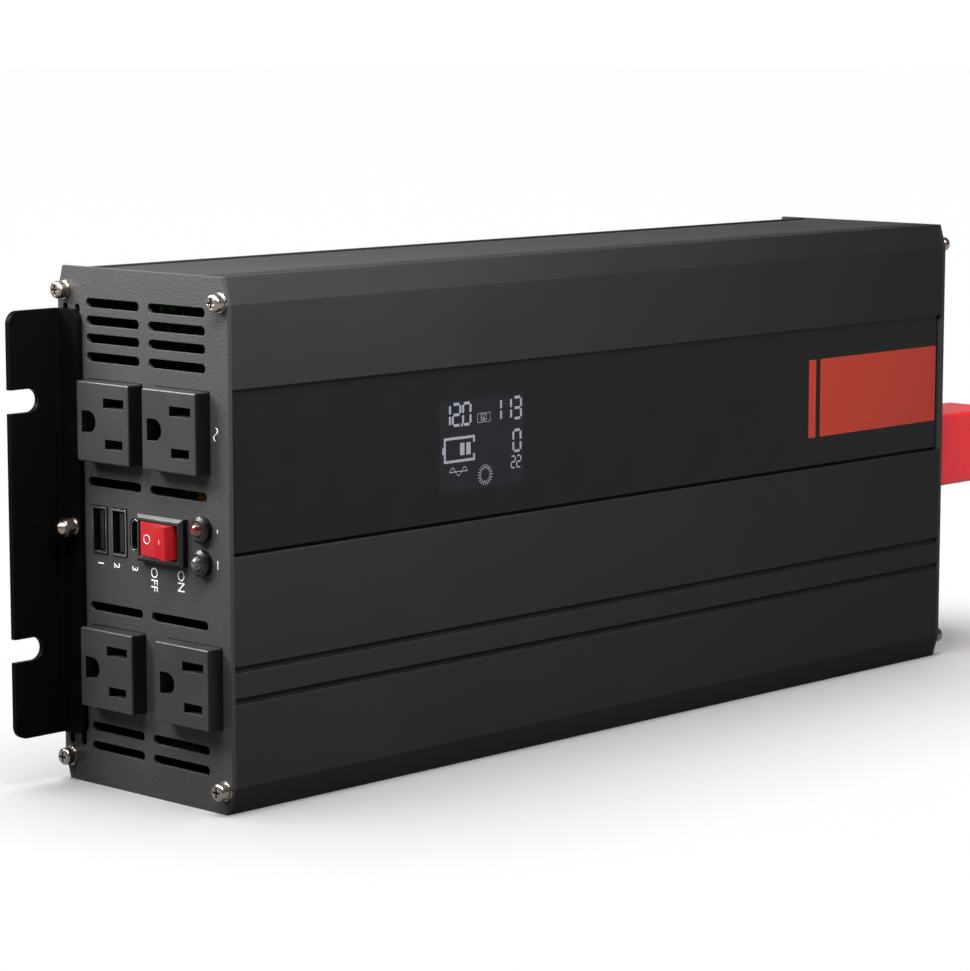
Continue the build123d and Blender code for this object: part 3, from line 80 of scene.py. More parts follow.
# ---- shader tools ----
class Value:
    """A number socket that takes part in Python expressions."""

    def __init__(self, shader: "Shader", socket: Any) -> None:
        """Wrap a socket.

        Args:
            shader: The shader whose node tree holds the socket.
            socket: An output socket, or a plain number.
        """
        self.shader = shader
        self.socket = socket

    def _math(self, operation: str, first: Any, second: Any) -> "Value":
        """Add a Math node.

        Args:
            operation: Name of the node's operation.
            first: First operand, a Value or a number.
            second: Second operand, a Value or a number.

        Returns:
            The node's result.
        """
        node = self.shader.node("ShaderNodeMath", {"operation": operation}, {0: first, 1: second})
        return Value(self.shader, node.outputs[0])

    def __add__(self, other: Any) -> "Value":
        """Sum."""
        return self._math("ADD", self, other)

    __radd__ = __add__

    def __sub__(self, other: Any) -> "Value":
        """Difference."""
        return self._math("SUBTRACT", self, other)

    def __rsub__(self, other: Any) -> "Value":
        """Reflected difference, as in 1 - mask."""
        return self._math("SUBTRACT", other, self)

    def __mul__(self, other: Any) -> "Value":
        """Product."""
        return self._math("MULTIPLY", self, other)

    __rmul__ = __mul__

    def __truediv__(self, other: Any) -> "Value":
        """Quotient."""
        return self._math("DIVIDE", self, other)

    def size(self) -> "Value":
        """Absolute value."""
        return self._math("ABSOLUTE", self, 0.0)

    def fraction(self) -> "Value":
        """Part after the decimal point."""
        return self._math("FRACT", self, 0.0)


class Shader:
    """One material's node tree, with a principled shader on its output."""

    def __init__(self, name: str) -> None:
        """Make an empty material with a principled shader.

        Args:
            name: Name of the material.
        """
        self.material = bpy.data.materials.new(name)
        self.material.use_nodes = True
        self.tree = self.material.node_tree
        self.tree.nodes.clear()
        output = self.tree.nodes.new("ShaderNodeOutputMaterial")
        self.principled = self.tree.nodes.new("ShaderNodeBsdfPrincipled")
        self.tree.links.new(self.principled.outputs[0], output.inputs["Surface"])
        self._place: Any = None

    def node(self, kind: str, settings: dict[str, Any] | None = None,
             inputs: dict[Any, Any] | None = None) -> Any:
        """Add a node.

        Args:
            kind: The node's type.
            settings: Attributes of the node, and "stops" for a ramp's positions and colours.
            inputs: Values or links by the socket's name or number.

        Returns:
            The new node.
        """
        node = self.tree.nodes.new(kind)
        for key, value in (settings or {}).items():
            if key == "stops":
                ramp = node.color_ramp
                for element, (position, shade) in zip(ramp.elements, value):
                    element.position = position
                    element.color = (shade, shade, shade, 1.0)
            else:
                setattr(node, key, value)
        for key, value in (inputs or {}).items():
            self.feed(node.inputs[key], value)
        return node

    def feed(self, socket: Any, value: Any) -> None:
        """Link or set one input socket.

        Args:
            socket: The input socket.
            value: A Value, an output socket, a number or a colour.
        """
        if isinstance(value, Value):
            value = value.socket
        if isinstance(value, bpy.types.NodeSocket):
            self.tree.links.new(value, socket)
        elif isinstance(value, tuple) and len(value) == 3 and socket.type == "RGBA":
            socket.default_value = (*value, 1.0)
        else:
            socket.default_value = value

    def place(self) -> Any:
        """Object coordinates, in metres."""
        if self._place is None:
            self._place = self.node("ShaderNodeTexCoord").outputs["Object"]
        return self._place

    def axis(self, name: str) -> Value:
        """One object coordinate.

        Args:
            name: X, Y or Z.

        Returns:
            The coordinate in metres.
        """
        split = self.node("ShaderNodeSeparateXYZ", inputs={0: self.place()})
        return Value(self, split.outputs[name])

    def noise(self, grain: float, detail: float = 3.0, scale: Point = (1.0, 1.0, 1.0)) -> Value:
        """Noise between about zero and one.

        Args:
            grain: Size of its patches, in metres.
            detail: Octaves of finer noise.
            scale: Stretch of the pattern; a small factor draws it out along that axis.

        Returns:
            The noise value.
        """
        where = self.node("ShaderNodeMapping", inputs={"Vector": self.place(), "Scale": scale}).outputs[0]
        node = self.node("ShaderNodeTexNoise", {"noise_dimensions": "3D"},
                         {"Vector": where, "Scale": 1.0 / grain, "Detail": detail, "Roughness": 0.55})
        return Value(self, node.outputs[0])

    def cells(self, grain: float) -> Value:
        """Distance to the nearest of a set of scattered points, for a pebbled surface.

        Args:
            grain: Mean spacing of the points, in metres.

        Returns:
            The distance, from zero to about one.
        """
        node = self.node("ShaderNodeTexVoronoi", {"feature": "F1"},
                         {"Vector": self.place(), "Scale": 1.0 / grain})
        return Value(self, node.outputs[0])

    def ramp(self, value: Value, low: float, high: float, start: float = 0.0, end: float = 1.0) -> Value:
        """Map a value through a ramp of two stops.

        Args:
            value: The driving value.
            low: Position of the first stop.
            high: Position of the second stop.
            start: Result at the first stop.
            end: Result at the second stop.

        Returns:
            The mapped value.
        """
        node = self.node("ShaderNodeValToRGB", {"stops": ((low, start), (high, end))}, {0: value})
        return Value(self, node.outputs[0])

    def blend(self, mask: Value, first: Any, second: Any) -> Any:
        """Mix two colours.

        Args:
            mask: Zero gives the first colour, one the second.
            first: A colour or colour socket.
            second: A colour or colour socket.

        Returns:
            The mixed colour's socket.
        """
        node = self.node("ShaderNodeMix", {"data_type": "RGBA", "clamp_factor": True})
        self.feed(node.inputs[0], mask)
        self.feed(node.inputs[6], first)
        self.feed(node.inputs[7], second)
        return node.outputs[2]

    def relief(self, height: Value, depth: float, edge: float = 0.0) -> None:
        """Give the surface a bump, and soften its sharp edges.

        Args:
            height: The bump's height, about zero to one.
            depth: Depth of the bump in metres.
            edge: Radius to which sharp edges are softened, in metres; zero leaves them.
        """
        inputs = {"Height": height, "Strength": 1.0, "Distance": depth}
        if edge > 0.0:
            bevel = self.node("ShaderNodeBevel", {"samples": 4}, {"Radius": edge})
            inputs["Normal"] = bevel.outputs[0]
        self.set(Normal=self.node("ShaderNodeBump", inputs=inputs).outputs[0])

    def set(self, **sockets: Any) -> None:
        """Feed the principled shader; an underscore in a name stands for a space."""
        for name, value in sockets.items():
            self.feed(self.principled.inputs[name.replace("_", " ")], value)


# ---- finishes ----
@dataclass(frozen=True)
class Finish:
    """A surface finish that can be laid on any piece."""

    name: str
    colour: Colour = (0.5, 0.5, 0.5)
    roughness: float = 0.5

    def material(self) -> bpy.types.Material:
        """The finish as a material, built once and then shared."""
        known = bpy.data.materials.get("finish_" + self.name)
        if known is not None:
            return known
        shader = Shader("finish_" + self.name)
        self.paint(shader)
        return shader.material

    def paint(self, shader: Shader) -> None:
        """Lay the finish on a shader.

        Args:
            shader: The new material's shader.
        """
        raise NotImplementedError

    def tones(self, shader: Shader, mask: Value, spread: float) -> Any:
        """The finish's colour, slightly darker and lighter over the surface.

        Args:
            shader: The new material's shader.
            mask: Where the lighter tone lies.
            spread: How far the two tones differ, as a share of the colour.

        Returns:
            A colour socket.
        """
        dark = tuple(channel * (1.0 - spread) for channel in self.colour)
        light = tuple(min(1.0, channel * (1.0 + spread)) for channel in self.colour)
        return shader.blend(mask, dark, light)


@dataclass(frozen=True)
class Paint(Finish):
    """Satin or powder-coated paint with a fine pebbled skin, lighter flecks as painted glints, and softened
    edges.
    """

    grain: float = 0.45 * MM
    depth: float = 0.02 * MM
    edge: float = 0.3 * MM
    painted_sparkle: float = 0.25
    specular: float = 0.5
    drawn: Grain = Grain.NONE

    def paint(self, shader: Shader) -> None:
        """Lay the paint on a shader.

        Args:
            shader: The new material's shader.
        """
        pebbles = shader.cells(self.grain)
        fine = shader.noise(self.grain * 0.7, 2.0)
        cloud = shader.ramp(shader.noise(60 * MM, 3.0), 0.2, 0.8)
        height = 0.6 * pebbles + 0.4 * fine
        if self.drawn is not Grain.NONE:
            along = {"x": (0.02, 1.0, 1.0), "z": (1.0, 1.0, 0.02)}[self.drawn.value]
            height = height + 0.6 * shader.noise(0.9 * MM, 2.0, along)
        # Lighter flecks where the fine grain stands high: painted glints mixed into the base colour.
        painted_glint_flecks = shader.ramp(fine, 0.56, 0.72) * self.painted_sparkle
        colour = self.tones(shader, 0.2 * cloud + painted_glint_flecks + 0.3, 0.45)
        shader.set(Base_Color=colour, Roughness=self.roughness + 0.04 * (cloud - 0.5) + 0.08 * (fine - 0.5),
                   Specular_IOR_Level=self.specular)
        shader.relief(height, self.depth, self.edge)


@dataclass(frozen=True)
class Plate(Finish):
    """Bare or plated metal with fine scratches and slight staining."""

    stain: Colour = (0.5, 0.42, 0.3)
    scratch: float = 0.25 * MM
    drawn: Grain = Grain.NONE
    edge: float = 0.12 * MM

    def paint(self, shader: Shader) -> None:
        """Lay the metal on a shader.

        Args:
            shader: The new material's shader.
        """
        along = {"none": (1.0, 1.0, 1.0), "x": (0.03, 1.0, 1.0), "z": (1.0, 1.0, 0.03)}
        scratches = shader.noise(self.scratch, 4.0, along[self.drawn.value])
        cloud = shader.ramp(shader.noise(3.5 * MM, 3.0), 0.42, 0.75)
        shader.set(Metallic=1.0, Base_Color=shader.blend(0.5 * cloud, self.colour, self.stain),
                   Roughness=self.roughness + 0.12 * cloud + 0.12 * (scratches - 0.5))
        shader.relief(scratches, 0.004 * MM, self.edge)


@dataclass(frozen=True)
class Threaded(Plate):
    """Plated or brass rod with rolled threads along the case's length."""

    pitch: float = 1.25 * MM

    def paint(self, shader: Shader) -> None:
        """Lay the metal and its threads on a shader.

        Args:
            shader: The new material's shader.
        """
        super().paint(shader)
        turn = (shader.axis("X") / self.pitch).fraction()
        shader.relief((turn - 0.5).size() * 2.0, 0.5 * self.pitch)


@dataclass(frozen=True)
class Moulding(Finish):
    """Moulded plastic with a fine spark-eroded texture, or a smooth gloss."""

    grain: float = 0.3 * MM
    depth: float = 0.01 * MM
    edge: float = 0.2 * MM
    coat: float = 0.0
    specular: float = 0.2

    def paint(self, shader: Shader) -> None:
        """Lay the plastic on a shader.

        Args:
            shader: The new material's shader.
        """
        skin = shader.noise(self.grain, 3.0)
        cloud = shader.ramp(shader.noise(14 * MM, 2.0), 0.35, 0.65)
        shader.set(Base_Color=self.tones(shader, 0.5 * cloud + 0.3 * skin, 0.14), Coat_Weight=self.coat,
                   Coat_Roughness=0.08, Specular_IOR_Level=self.specular,
                   Roughness=self.roughness + 0.1 * (skin - 0.5) + 0.05 * cloud)
        shader.relief(skin, self.depth, self.edge)


@dataclass(frozen=True)
class Lens(Finish):
    """Coloured clear plastic over a lit or unlit chip, slightly uneven in tone."""

    glow: float = 0.0

    def paint(self, shader: Shader) -> None:
        """Lay the lens on a shader.

        Args:
            shader: The new material's shader.
        """
        speck = shader.ramp(shader.noise(1.2 * MM, 2.0), 0.4, 0.7)
        shader.set(Base_Color=self.tones(shader, speck, 0.35), Roughness=self.roughness + 0.04 * speck,
                   Transmission_Weight=0.15, IOR=1.5, Coat_Weight=0.3 + 0.2 * speck, Coat_Roughness=0.03)
        if self.glow > 0.0:
            shader.set(Emission_Color=self.colour, Emission_Strength=self.glow)


@dataclass(frozen=True)
class Ink(Finish):
    """Screen-printed ink or a lit display segment, slightly uneven in strength."""

    glow: float = 0.0

    def paint(self, shader: Shader) -> None:
        """Lay the ink on a shader.

        Args:
            shader: The new material's shader.
        """
        cover = shader.noise(0.35 * MM, 3.0)
        patch = shader.ramp(cover, 0.3, 0.7)
        shader.set(Base_Color=self.tones(shader, patch, 0.08), Roughness=self.roughness + 0.1 * patch,
                   Specular_IOR_Level=0.15)
        if self.glow > 0.0:
            shader.set(Emission_Color=self.tones(shader, patch, 0.08), Emission_Strength=self.glow)
        shader.relief(cover, 0.003 * MM)


@dataclass(frozen=True)
class Laminate(Finish):
    """Circuit board: solder mask over faint tracks, with bright pads."""

    pad: Colour = (0.75, 0.72, 0.62)

    def paint(self, shader: Shader) -> None:
        """Lay the board on a shader.

        Args:
            shader: The new material's shader.
        """
        tracks = shader.ramp(shader.noise(2.4 * MM, 0.0, (0.35, 1.0, 1.0)), 0.49, 0.51)
        pads = shader.ramp(shader.cells(3.2 * MM), 0.1, 0.16, 1.0, 0.0)
        mask = self.tones(shader, tracks, 0.3)
        shader.set(Base_Color=shader.blend(pads, mask, self.pad), Metallic=0.9 * pads,
                   Roughness=self.roughness + 0.1 * tracks)
        shader.relief(tracks + pads, 0.03 * MM)


@dataclass(frozen=True)
class Wrapped(Finish):
    """Tape, sleeve or enamelled wire wound in bands around a part."""

    pitch: float = 3.0 * MM
    along: str = "Z"
    depth: float = 0.15 * MM

    def paint(self, shader: Shader) -> None:
        """Lay the winding on a shader.

        Args:
            shader: The new material's shader.
        """
        turn = (shader.axis(self.along) / self.pitch).fraction()
        crown = 1.0 - (turn - 0.5).size() * 2.0
        fine = shader.noise(0.6 * MM, 3.0)
        # The colour is lighter on the crown of each turn and darker in the groove between turns: painted
        # highlight and painted shade, over a random tone.
        shader.set(Base_Color=self.tones(shader, 0.6 * crown + 0.4 * fine, 0.3),
                   Roughness=self.roughness + 0.15 * (fine - 0.5), Coat_Weight=0.3 * crown)
        shader.relief(crown, self.depth)


def lay(finish: Finish, nodes: Iterable[str]) -> None:
    """Give carried-over CAD nodes a finish in every material slot.

    Args:
        finish: The finish.
        nodes: Names of the nodes.
    """
    for name in nodes:
        piece = frame["nodes"][name]
        if not piece.material_slots:
            piece.data.materials.append(None)
        for slot in piece.material_slots:
            slot.material = finish.material()
        LOG.info("finished %s with %s", name, finish.name)


# ---- mesh tools ----
class Maker:
    """Collects the shapes of one new piece, each made by bmesh operators."""

    def __init__(self) -> None:
        """Start with an empty mesh."""
        self.mesh = bmesh.new()

    def block(self, low: Point, high: Point) -> None:
        """Add a block by its corners.

        Args:
            low: Lowest corner.
            high: Highest corner.
        """
        verts = bmesh.ops.create_cube(self.mesh, size=1.0)["verts"]
        size = Vector(high) - Vector(low)
        bmesh.ops.scale(self.mesh, vec=size, verts=verts)
        bmesh.ops.translate(self.mesh, vec=(Vector(high) + Vector(low)) / 2, verts=verts)

    def ring(self, centre: Point, radius: float, wire: float, steps: int = 56) -> None:
        """Add a wire ring around an axis along X.

        Args:
            centre: Middle of the ring.
            radius: From the axis to the wire's middle.
            wire: Radius of the wire.
            steps: Facets around the ring.
        """
        made = bmesh.ops.create_circle(self.mesh, segments=12, radius=wire)["verts"]
        bmesh.ops.rotate(self.mesh, verts=made, cent=(0, 0, 0), matrix=Matrix.Rotation(math.pi / 2, 3, "X"))
        bmesh.ops.translate(self.mesh, verts=made, vec=Vector(centre) + Vector((0, 0, radius)))
        edges = list({edge for vert in made for edge in vert.link_edges})
        bmesh.ops.spin(self.mesh, geom=made + edges, cent=centre, axis=(1, 0, 0), dvec=(0, 0, 0),
                       angle=math.tau, steps=steps, use_merge=True, use_duplicate=False)

    def bar(self, start: Point, end: Point, radius: float, segments: int = 14) -> None:
        """Add a round bar between two points.

        Args:
            start: Middle of its first end.
            end: Middle of its last end.
            radius: Its radius.
            segments: Facets around it.
        """
        run = Vector(end) - Vector(start)
        turn = run.to_track_quat("Z", "Y").to_matrix().to_4x4()
        place = Matrix.Translation((Vector(start) + Vector(end)) / 2) @ turn
        bmesh.ops.create_cone(self.mesh, cap_ends=True, segments=segments, radius1=radius,
                              radius2=radius, depth=run.length, matrix=place)

    def ribbon(self, points: list[Point], side: Point, width: float) -> None:
        """Add a flat ribbon along a path.

        Args:
            points: Its middle line.
            side: Unit direction across the ribbon.
            width: Its width.
        """
        half = Vector(side) * width / 2
        ends = [self.mesh.verts.new(Vector(points[0]) - half), self.mesh.verts.new(Vector(points[0]) + half)]
        edge = self.mesh.edges.new(ends)
        for before, after in zip(points, points[1:]):
            made = bmesh.ops.extrude_edge_only(self.mesh, edges=[edge])["geom"]
            verts = [item for item in made if isinstance(item, bmesh.types.BMVert)]
            edge = next(item for item in made if isinstance(item, bmesh.types.BMEdge))
            bmesh.ops.translate(self.mesh, verts=verts, vec=Vector(after) - Vector(before))

    def wave(self, start: Spot, width: float, turns: float, swing: float, steps: int, line: float) -> None:
        """Add a sine wave as a flat ribbon.

        Args:
            start: Its left end.
            width: Its width.
            turns: Number of periods.
            swing: Height from its middle line, as a share of the width.
            steps: Straight pieces along it.
            line: Width of the ribbon.
        """
        points = [(start[0] + width * step / steps,
                   start[1] + swing * width * math.sin(math.tau * turns * step / steps), 0.0)
                  for step in range(steps + 1)]
        self.ribbon(points, (0, 1, 0), line)

    def place(self, matrix: Matrix) -> None:
        """Move all that has been added so far.

        Args:
            matrix: The transform.
        """
        bmesh.ops.transform(self.mesh, matrix=matrix, verts=self.mesh.verts)

    def finish(self, name: str, finish: Finish, body: str, slot: str, smooth: bool = False) -> Any:
        """Turn the mesh into a piece that rides on a body.

        Args:
            name: The piece's name.
            finish: Its finish.
            body: The CAD body that carries it.
            slot: The record's material slot; not used.
            smooth: Whether its faces are shaded smooth.

        Returns:
            The new object.
        """
        bmesh.ops.remove_doubles(self.mesh, verts=self.mesh.verts, dist=1e-7)
        bmesh.ops.recalc_face_normals(self.mesh, faces=self.mesh.faces)
        for face in self.mesh.faces:
            face.smooth = smooth
        data = bpy.data.meshes.new(name)
        self.mesh.to_mesh(data)
        self.mesh.free()
        return add_piece(name, data, finish, body)


def add_piece(name: str, data: Any, finish: Finish, body: str) -> Any:
    """Put a mesh into the scene as a piece of the object.

    Args:
        name: The piece's name.
        data: Its mesh.
        finish: Its finish.
        body: The CAD body that carries it.

    Returns:
        The new object.
    """
    data.materials.clear()
    data.materials.append(finish.material())
    piece = bpy.data.objects.new(name, data)
    bpy.context.scene.collection.objects.link(piece)
    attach(piece, body)
    LOG.info("made %s on %s: %d faces", name, body, len(data.polygons))
    return piece


def on_face(facing: Facing, place: Point, turn: float = 0.0) -> Matrix:
    """The transform that lays a mark drawn on the XY plane onto a side of the case.

    Args:
        facing: The side it faces.
        place: Where its origin comes.
        turn: Turn to the left as its reader sees it, in degrees.

    Returns:
        The transform.
    """
    columns = {
        Facing.FRONT: ((1, 0, 0), (0, 0, 1), (0, -1, 0)),
        Facing.OUTLET_END: ((0, -1, 0), (0, 0, 1), (-1, 0, 0)),
    }[facing]
    basis = Matrix(columns).transposed().to_4x4()
    return Matrix.Translation(place) @ basis @ Matrix.Rotation(math.radians(turn), 4, "Z")


def lettering(text: str, height: float, matrix: Matrix, thick: float = 0.03 * MM) -> Any:
    """Mesh of a short text, centred on its place.

    Args:
        text: The text.
        height: Size of the letters.
        matrix: Its place, from on_face.
        thick: How far the print stands out.

    Returns:
        The mesh.
    """
    curve = bpy.data.curves.new("lettering", "FONT")
    curve.body = text
    curve.size = height
    curve.align_x = "CENTER"
    curve.align_y = "CENTER"
    curve.extrude = thick
    maker = bpy.data.objects.new("lettering", curve)
    data = bpy.data.meshes.new_from_object(maker)
    bpy.data.objects.remove(maker)
    data.transform(matrix)
    return data


def join(name: str, meshes: list[Any]) -> Any:
    """Join meshes into one.

    Args:
        name: Name of the joined mesh.
        meshes: The meshes.

    Returns:
        The joined mesh.
    """
    whole = bmesh.new()
    for data in meshes:
        whole.from_mesh(data)
    bmesh.ops.remove_doubles(whole, verts=whole.verts, dist=1e-7)
    bmesh.ops.recalc_face_normals(whole, faces=whole.faces)
    joined = bpy.data.meshes.new(name)
    whole.to_mesh(joined)
    whole.free()
    return joined


# ---- sub-assemblies ----
@dataclass
class Case:
    """The two extruded shells, the end panels, the brackets and their fasteners."""

    shell: Finish = Paint("shell_paint", (0.0062, 0.0062, 0.0065), 0.55, grain=0.34 * MM, depth=0.02 * MM,
                          edge=0.25 * MM, painted_sparkle=0.5, specular=0.04, drawn=Grain.LENGTHWISE)
    panel: Finish = Paint("panel_paint", (0.0105, 0.0105, 0.0108), 0.42, grain=0.75 * MM, depth=0.11 * MM,
                          edge=0.2 * MM, painted_sparkle=0.4, specular=0.08)
    # Darker and duller than the panels' same black powder coat: the coat's own black plus painted shade, as
    # the brackets face away from the lights.
    bracket: Finish = Paint("bracket_paint", (0.0006, 0.0006, 0.00065), 0.42, grain=0.4 * MM,
                            depth=0.01 * MM, edge=0.3 * MM, painted_sparkle=0.3, specular=0.01)
    screw: Finish = Plate("screw_nickel", (0.24, 0.21, 0.19), 0.2, stain=(0.1, 0.07, 0.05), scratch=0.6 * MM)

    def dress(self) -> None:
        """Finish the case's nodes."""
        lay(self.shell, ("front_shell", "rear_base"))
        lay(self.panel, ("outlet_panel", "fan_panel"))
        lay(self.bracket, ("outlet_end_bracket", "fan_end_bracket"))
        lay(self.screw, ("outlet_panel_screws", "fan_panel_screws", "bracket_studs", "bracket_nuts",
                         "fan_screws"))


@dataclass
class LabelStrip:
    """The glossy strip of the front face with its printed block and stripe."""

    block_start: float = 0.2849  # from the outlet end of the case
    block_low: float = 0.0901
    block_high: float = 0.1181
    stripe_start: float = 0.2784
    stripe_width: float = 0.004
    ink_thick: float = 0.03 * MM
    strip: Finish = Moulding("label_gloss", (0.0022, 0.0022, 0.0024), 0.2, grain=0.5 * MM,
                             depth=0.001 * MM, edge=0.12 * MM, specular=0.07)
    red: Finish = Ink("label_red", (0.135, 0.01, 0.0045), 0.42)

    def dress(self) -> None:
        """Finish the strip and print its coloured areas."""
        lay(self.strip, ("label_strip",))
        low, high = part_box("label_strip")
        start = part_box("outlet_panel")[0][0]
        front = low[1] - self.ink_thick
        maker = Maker()
        maker.block((start + self.block_start, front, self.block_low),
                    (high[0] - 0.2 * MM, low[1] + self.ink_thick, self.block_high))
        maker.finish("label_block", self.red, "case", "rocker_red")
        maker = Maker()
        maker.block((start + self.stripe_start, front, self.block_low),
                    (start + self.stripe_start + self.stripe_width, low[1] + self.ink_thick, self.block_high))
        maker.finish("label_stripe", self.red, "case", "rocker_red")


@dataclass
class Display:
    """The display window in the strip, with lit number segments and small signs."""

    maker: Maker = field(default_factory=Maker)
    stroke: float = 0.13  # width of a segment, as a share of the digit's height
    slim: float = 0.5  # width of a digit, as a share of its height
    advance: float = 0.69  # from digit to digit
    large: float = 6.8 * MM  # height of a large digit
    small: float = 3.8 * MM
    tiny: float = 2.0 * MM
    line: float = 0.85 * MM  # lines of the battery sign
    hair: float = 0.3 * MM  # thin lines of the other signs
    ray: float = 0.3 * MM
    thick: float = 0.02 * MM
    rays: int = 20
    turns: float = 1.5  # periods of the wave sign
    swing: float = 0.16
    wave_steps: int = 36
    upper_row: float = 8.1 * MM  # foot of the large digits, below the window's top
    input_start: float = 1.6 * MM  # starts, from the window's left edge
    output_inset: float = 14.2 * MM  # starts, from its right edge
    frame_span: Spot = (17.8 * MM, 23.4 * MM)  # frame around the frequency
    frame_sides: Spot = (17.6 * MM, 23.4 * MM)
    frame_pitch: float = 2.9 * MM
    frame_height: float = 3.1 * MM
    frequency: Spot = (19.3 * MM, 0.6 * MM)
    battery_box: tuple[float, float, float, float] = (2.2 * MM, 20.0 * MM, 14.2 * MM, 8.2 * MM)
    load: Spot = (5.0 * MM, 18.8 * MM)  # from the right edge and the top
    warmth: Spot = (6.0 * MM, 24.2 * MM)
    wave_sign: Point = (4.8 * MM, 23.0 * MM, 8.2 * MM)
    sun_sign: Spot = (21.2 * MM, 25.2 * MM)
    sun_radii: Spot = (2.0 * MM, 3.4 * MM)
    window: Finish = Moulding("display_window", (0.0024, 0.0025, 0.0036), 0.16, grain=0.8 * MM,
                              depth=0.001 * MM, edge=0.0, specular=0.1)
    lit: Finish = Ink("display_lit", (0.067, 0.071, 0.082), 0.4, glow=0.03)
    SEGMENTS: ClassVar[dict[str, str]] = {
        "0": "abcdef", "1": "bc", "2": "abged", "3": "abgcd", "4": "fgbc", "5": "afgcd", "6": "afgedc",
        "7": "abc", "8": "abcdefg", "9": "abcdfg"}

    def bar(self, x0: float, y0: float, x1: float, y1: float) -> None:
        """Add a thin lit rectangle.

        Args:
            x0: Left edge.
            y0: Lower edge.
            x1: Right edge.
            y1: Upper edge.
        """
        self.maker.block((x0, y0, 0.0), (x1, y1, self.thick))

    def segment(self, letter: str, x: float, y: float, height: float) -> None:
        """Add one segment of a digit.

        Args:
            letter: The segment's usual letter, a to g.
            x: Left edge of the digit.
            y: Lower edge of the digit.
            height: Height of the digit.
        """
        half, width = height / 2, height * self.slim
        spans = {"a": (0, height, width, height), "g": (0, half, width, half), "d": (0, 0, width, 0),
                 "f": (0, half, 0, height), "b": (width, half, width, height),
                 "e": (0, 0, 0, half), "c": (width, 0, width, half)}
        x0, y0, x1, y1 = spans[letter]
        side = height * self.stroke / 2
        gap = side * 0.9
        across, along = (gap, -side) if y0 == y1 else (-side, gap)
        self.bar(x + x0 + across, y + y0 + along, x + x1 - across, y + y1 - along)

    def number(self, text: str, x: float, y: float, height: float) -> None:
        """Add a number, with a small square for each point.

        Args:
            text: Digits and points.
            x: Left edge.
            y: Lower edge.
            height: Height of its digits.
        """
        for sign in text:
            if sign == ".":
                side = height * self.stroke
                dot = x - side * 1.1
                self.bar(dot, y - side / 2, dot + side, y + side / 2)
                continue
            for letter in self.SEGMENTS[sign]:
                self.segment(letter, x, y, height)
            x += height * self.advance

    def battery(self, tall: float) -> None:
        """Add a battery sign: an outline that is open at the right, a nub and two level bars.

        Args:
            tall: Height of the window.
        """
        x, drop, width, height = self.battery_box
        y = tall - drop
        line, top, right = self.line, y + height, x + width
        stub = height * 0.28
        self.bar(x, y, right, y + line)
        self.bar(x, top - line, right, top)
        self.bar(x, y + line, x + line, top - line)
        self.bar(right - line, y + line, right, y + stub)
        self.bar(right - line, top - stub, right, top - line)
        self.bar(x - line * 0.8, y + height * 0.36, x, y + height * 0.64)
        for share in (0.52, 0.72):
            start = x + width * share
            self.bar(start, y + height * 0.26, start + width * 0.14, top - height * 0.26)

    def sun(self, x: float, y: float) -> None:
        """Add a ring of rays.

        Args:
            x: Its middle.
            y: Its middle.
        """
        inner, outer = self.sun_radii
        for index in range(self.rays):
            angle = math.tau * index / self.rays
            reach = Vector((math.cos(angle), math.sin(angle), 0.0))
            across = (-reach.y, reach.x, 0.0)
            middle = Vector((x, y, 0.0))
            ends = [tuple(middle + reach * inner), tuple(middle + reach * outer)]
            self.maker.ribbon(ends, across, self.ray)

    def dress(self) -> None:
        """Make the window and what it shows."""
        low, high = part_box("display_glass")
        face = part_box("label_strip")[0][1]
        window = Maker()
        window.block((low[0], face - self.thick, low[2]), (high[0], face + self.thick, high[2]))
        window.finish("display_window", self.window, "case", "display_dark")
        wide, tall = high[0] - low[0], high[2] - low[2]
        upper = tall - self.upper_row
        self.number("12.0", self.input_start, upper, self.large)
        self.number("113", wide - self.output_inset, upper, self.large)
        self.number("60", self.frequency[0], upper + self.frequency[1], self.tiny)
        for edge in (upper, upper + self.frame_pitch):
            self.bar(self.frame_span[0], edge, self.frame_span[1], edge + self.hair / 2)
        for side in self.frame_sides:
            self.bar(side, upper, side + self.hair / 2, upper + self.frame_height)
        self.battery(tall)
        self.number("0", wide - self.load[0], tall - self.load[1], self.large)
        self.number("22", wide - self.warmth[0], tall - self.warmth[1], self.small)
        start, drop, length = self.wave_sign
        middle = tall - drop
        self.maker.wave((start, middle), length, self.turns, self.swing, self.wave_steps, self.hair)
        self.bar(start, middle - self.hair / 2, start + length, middle + self.hair / 2)
        self.sun(self.sun_sign[0], tall - self.sun_sign[1])
        self.maker.place(on_face(Facing.FRONT, (low[0], face - 1.5 * self.thick, low[2])))
        self.maker.finish("display_segments", self.lit, "case", "display_dark")


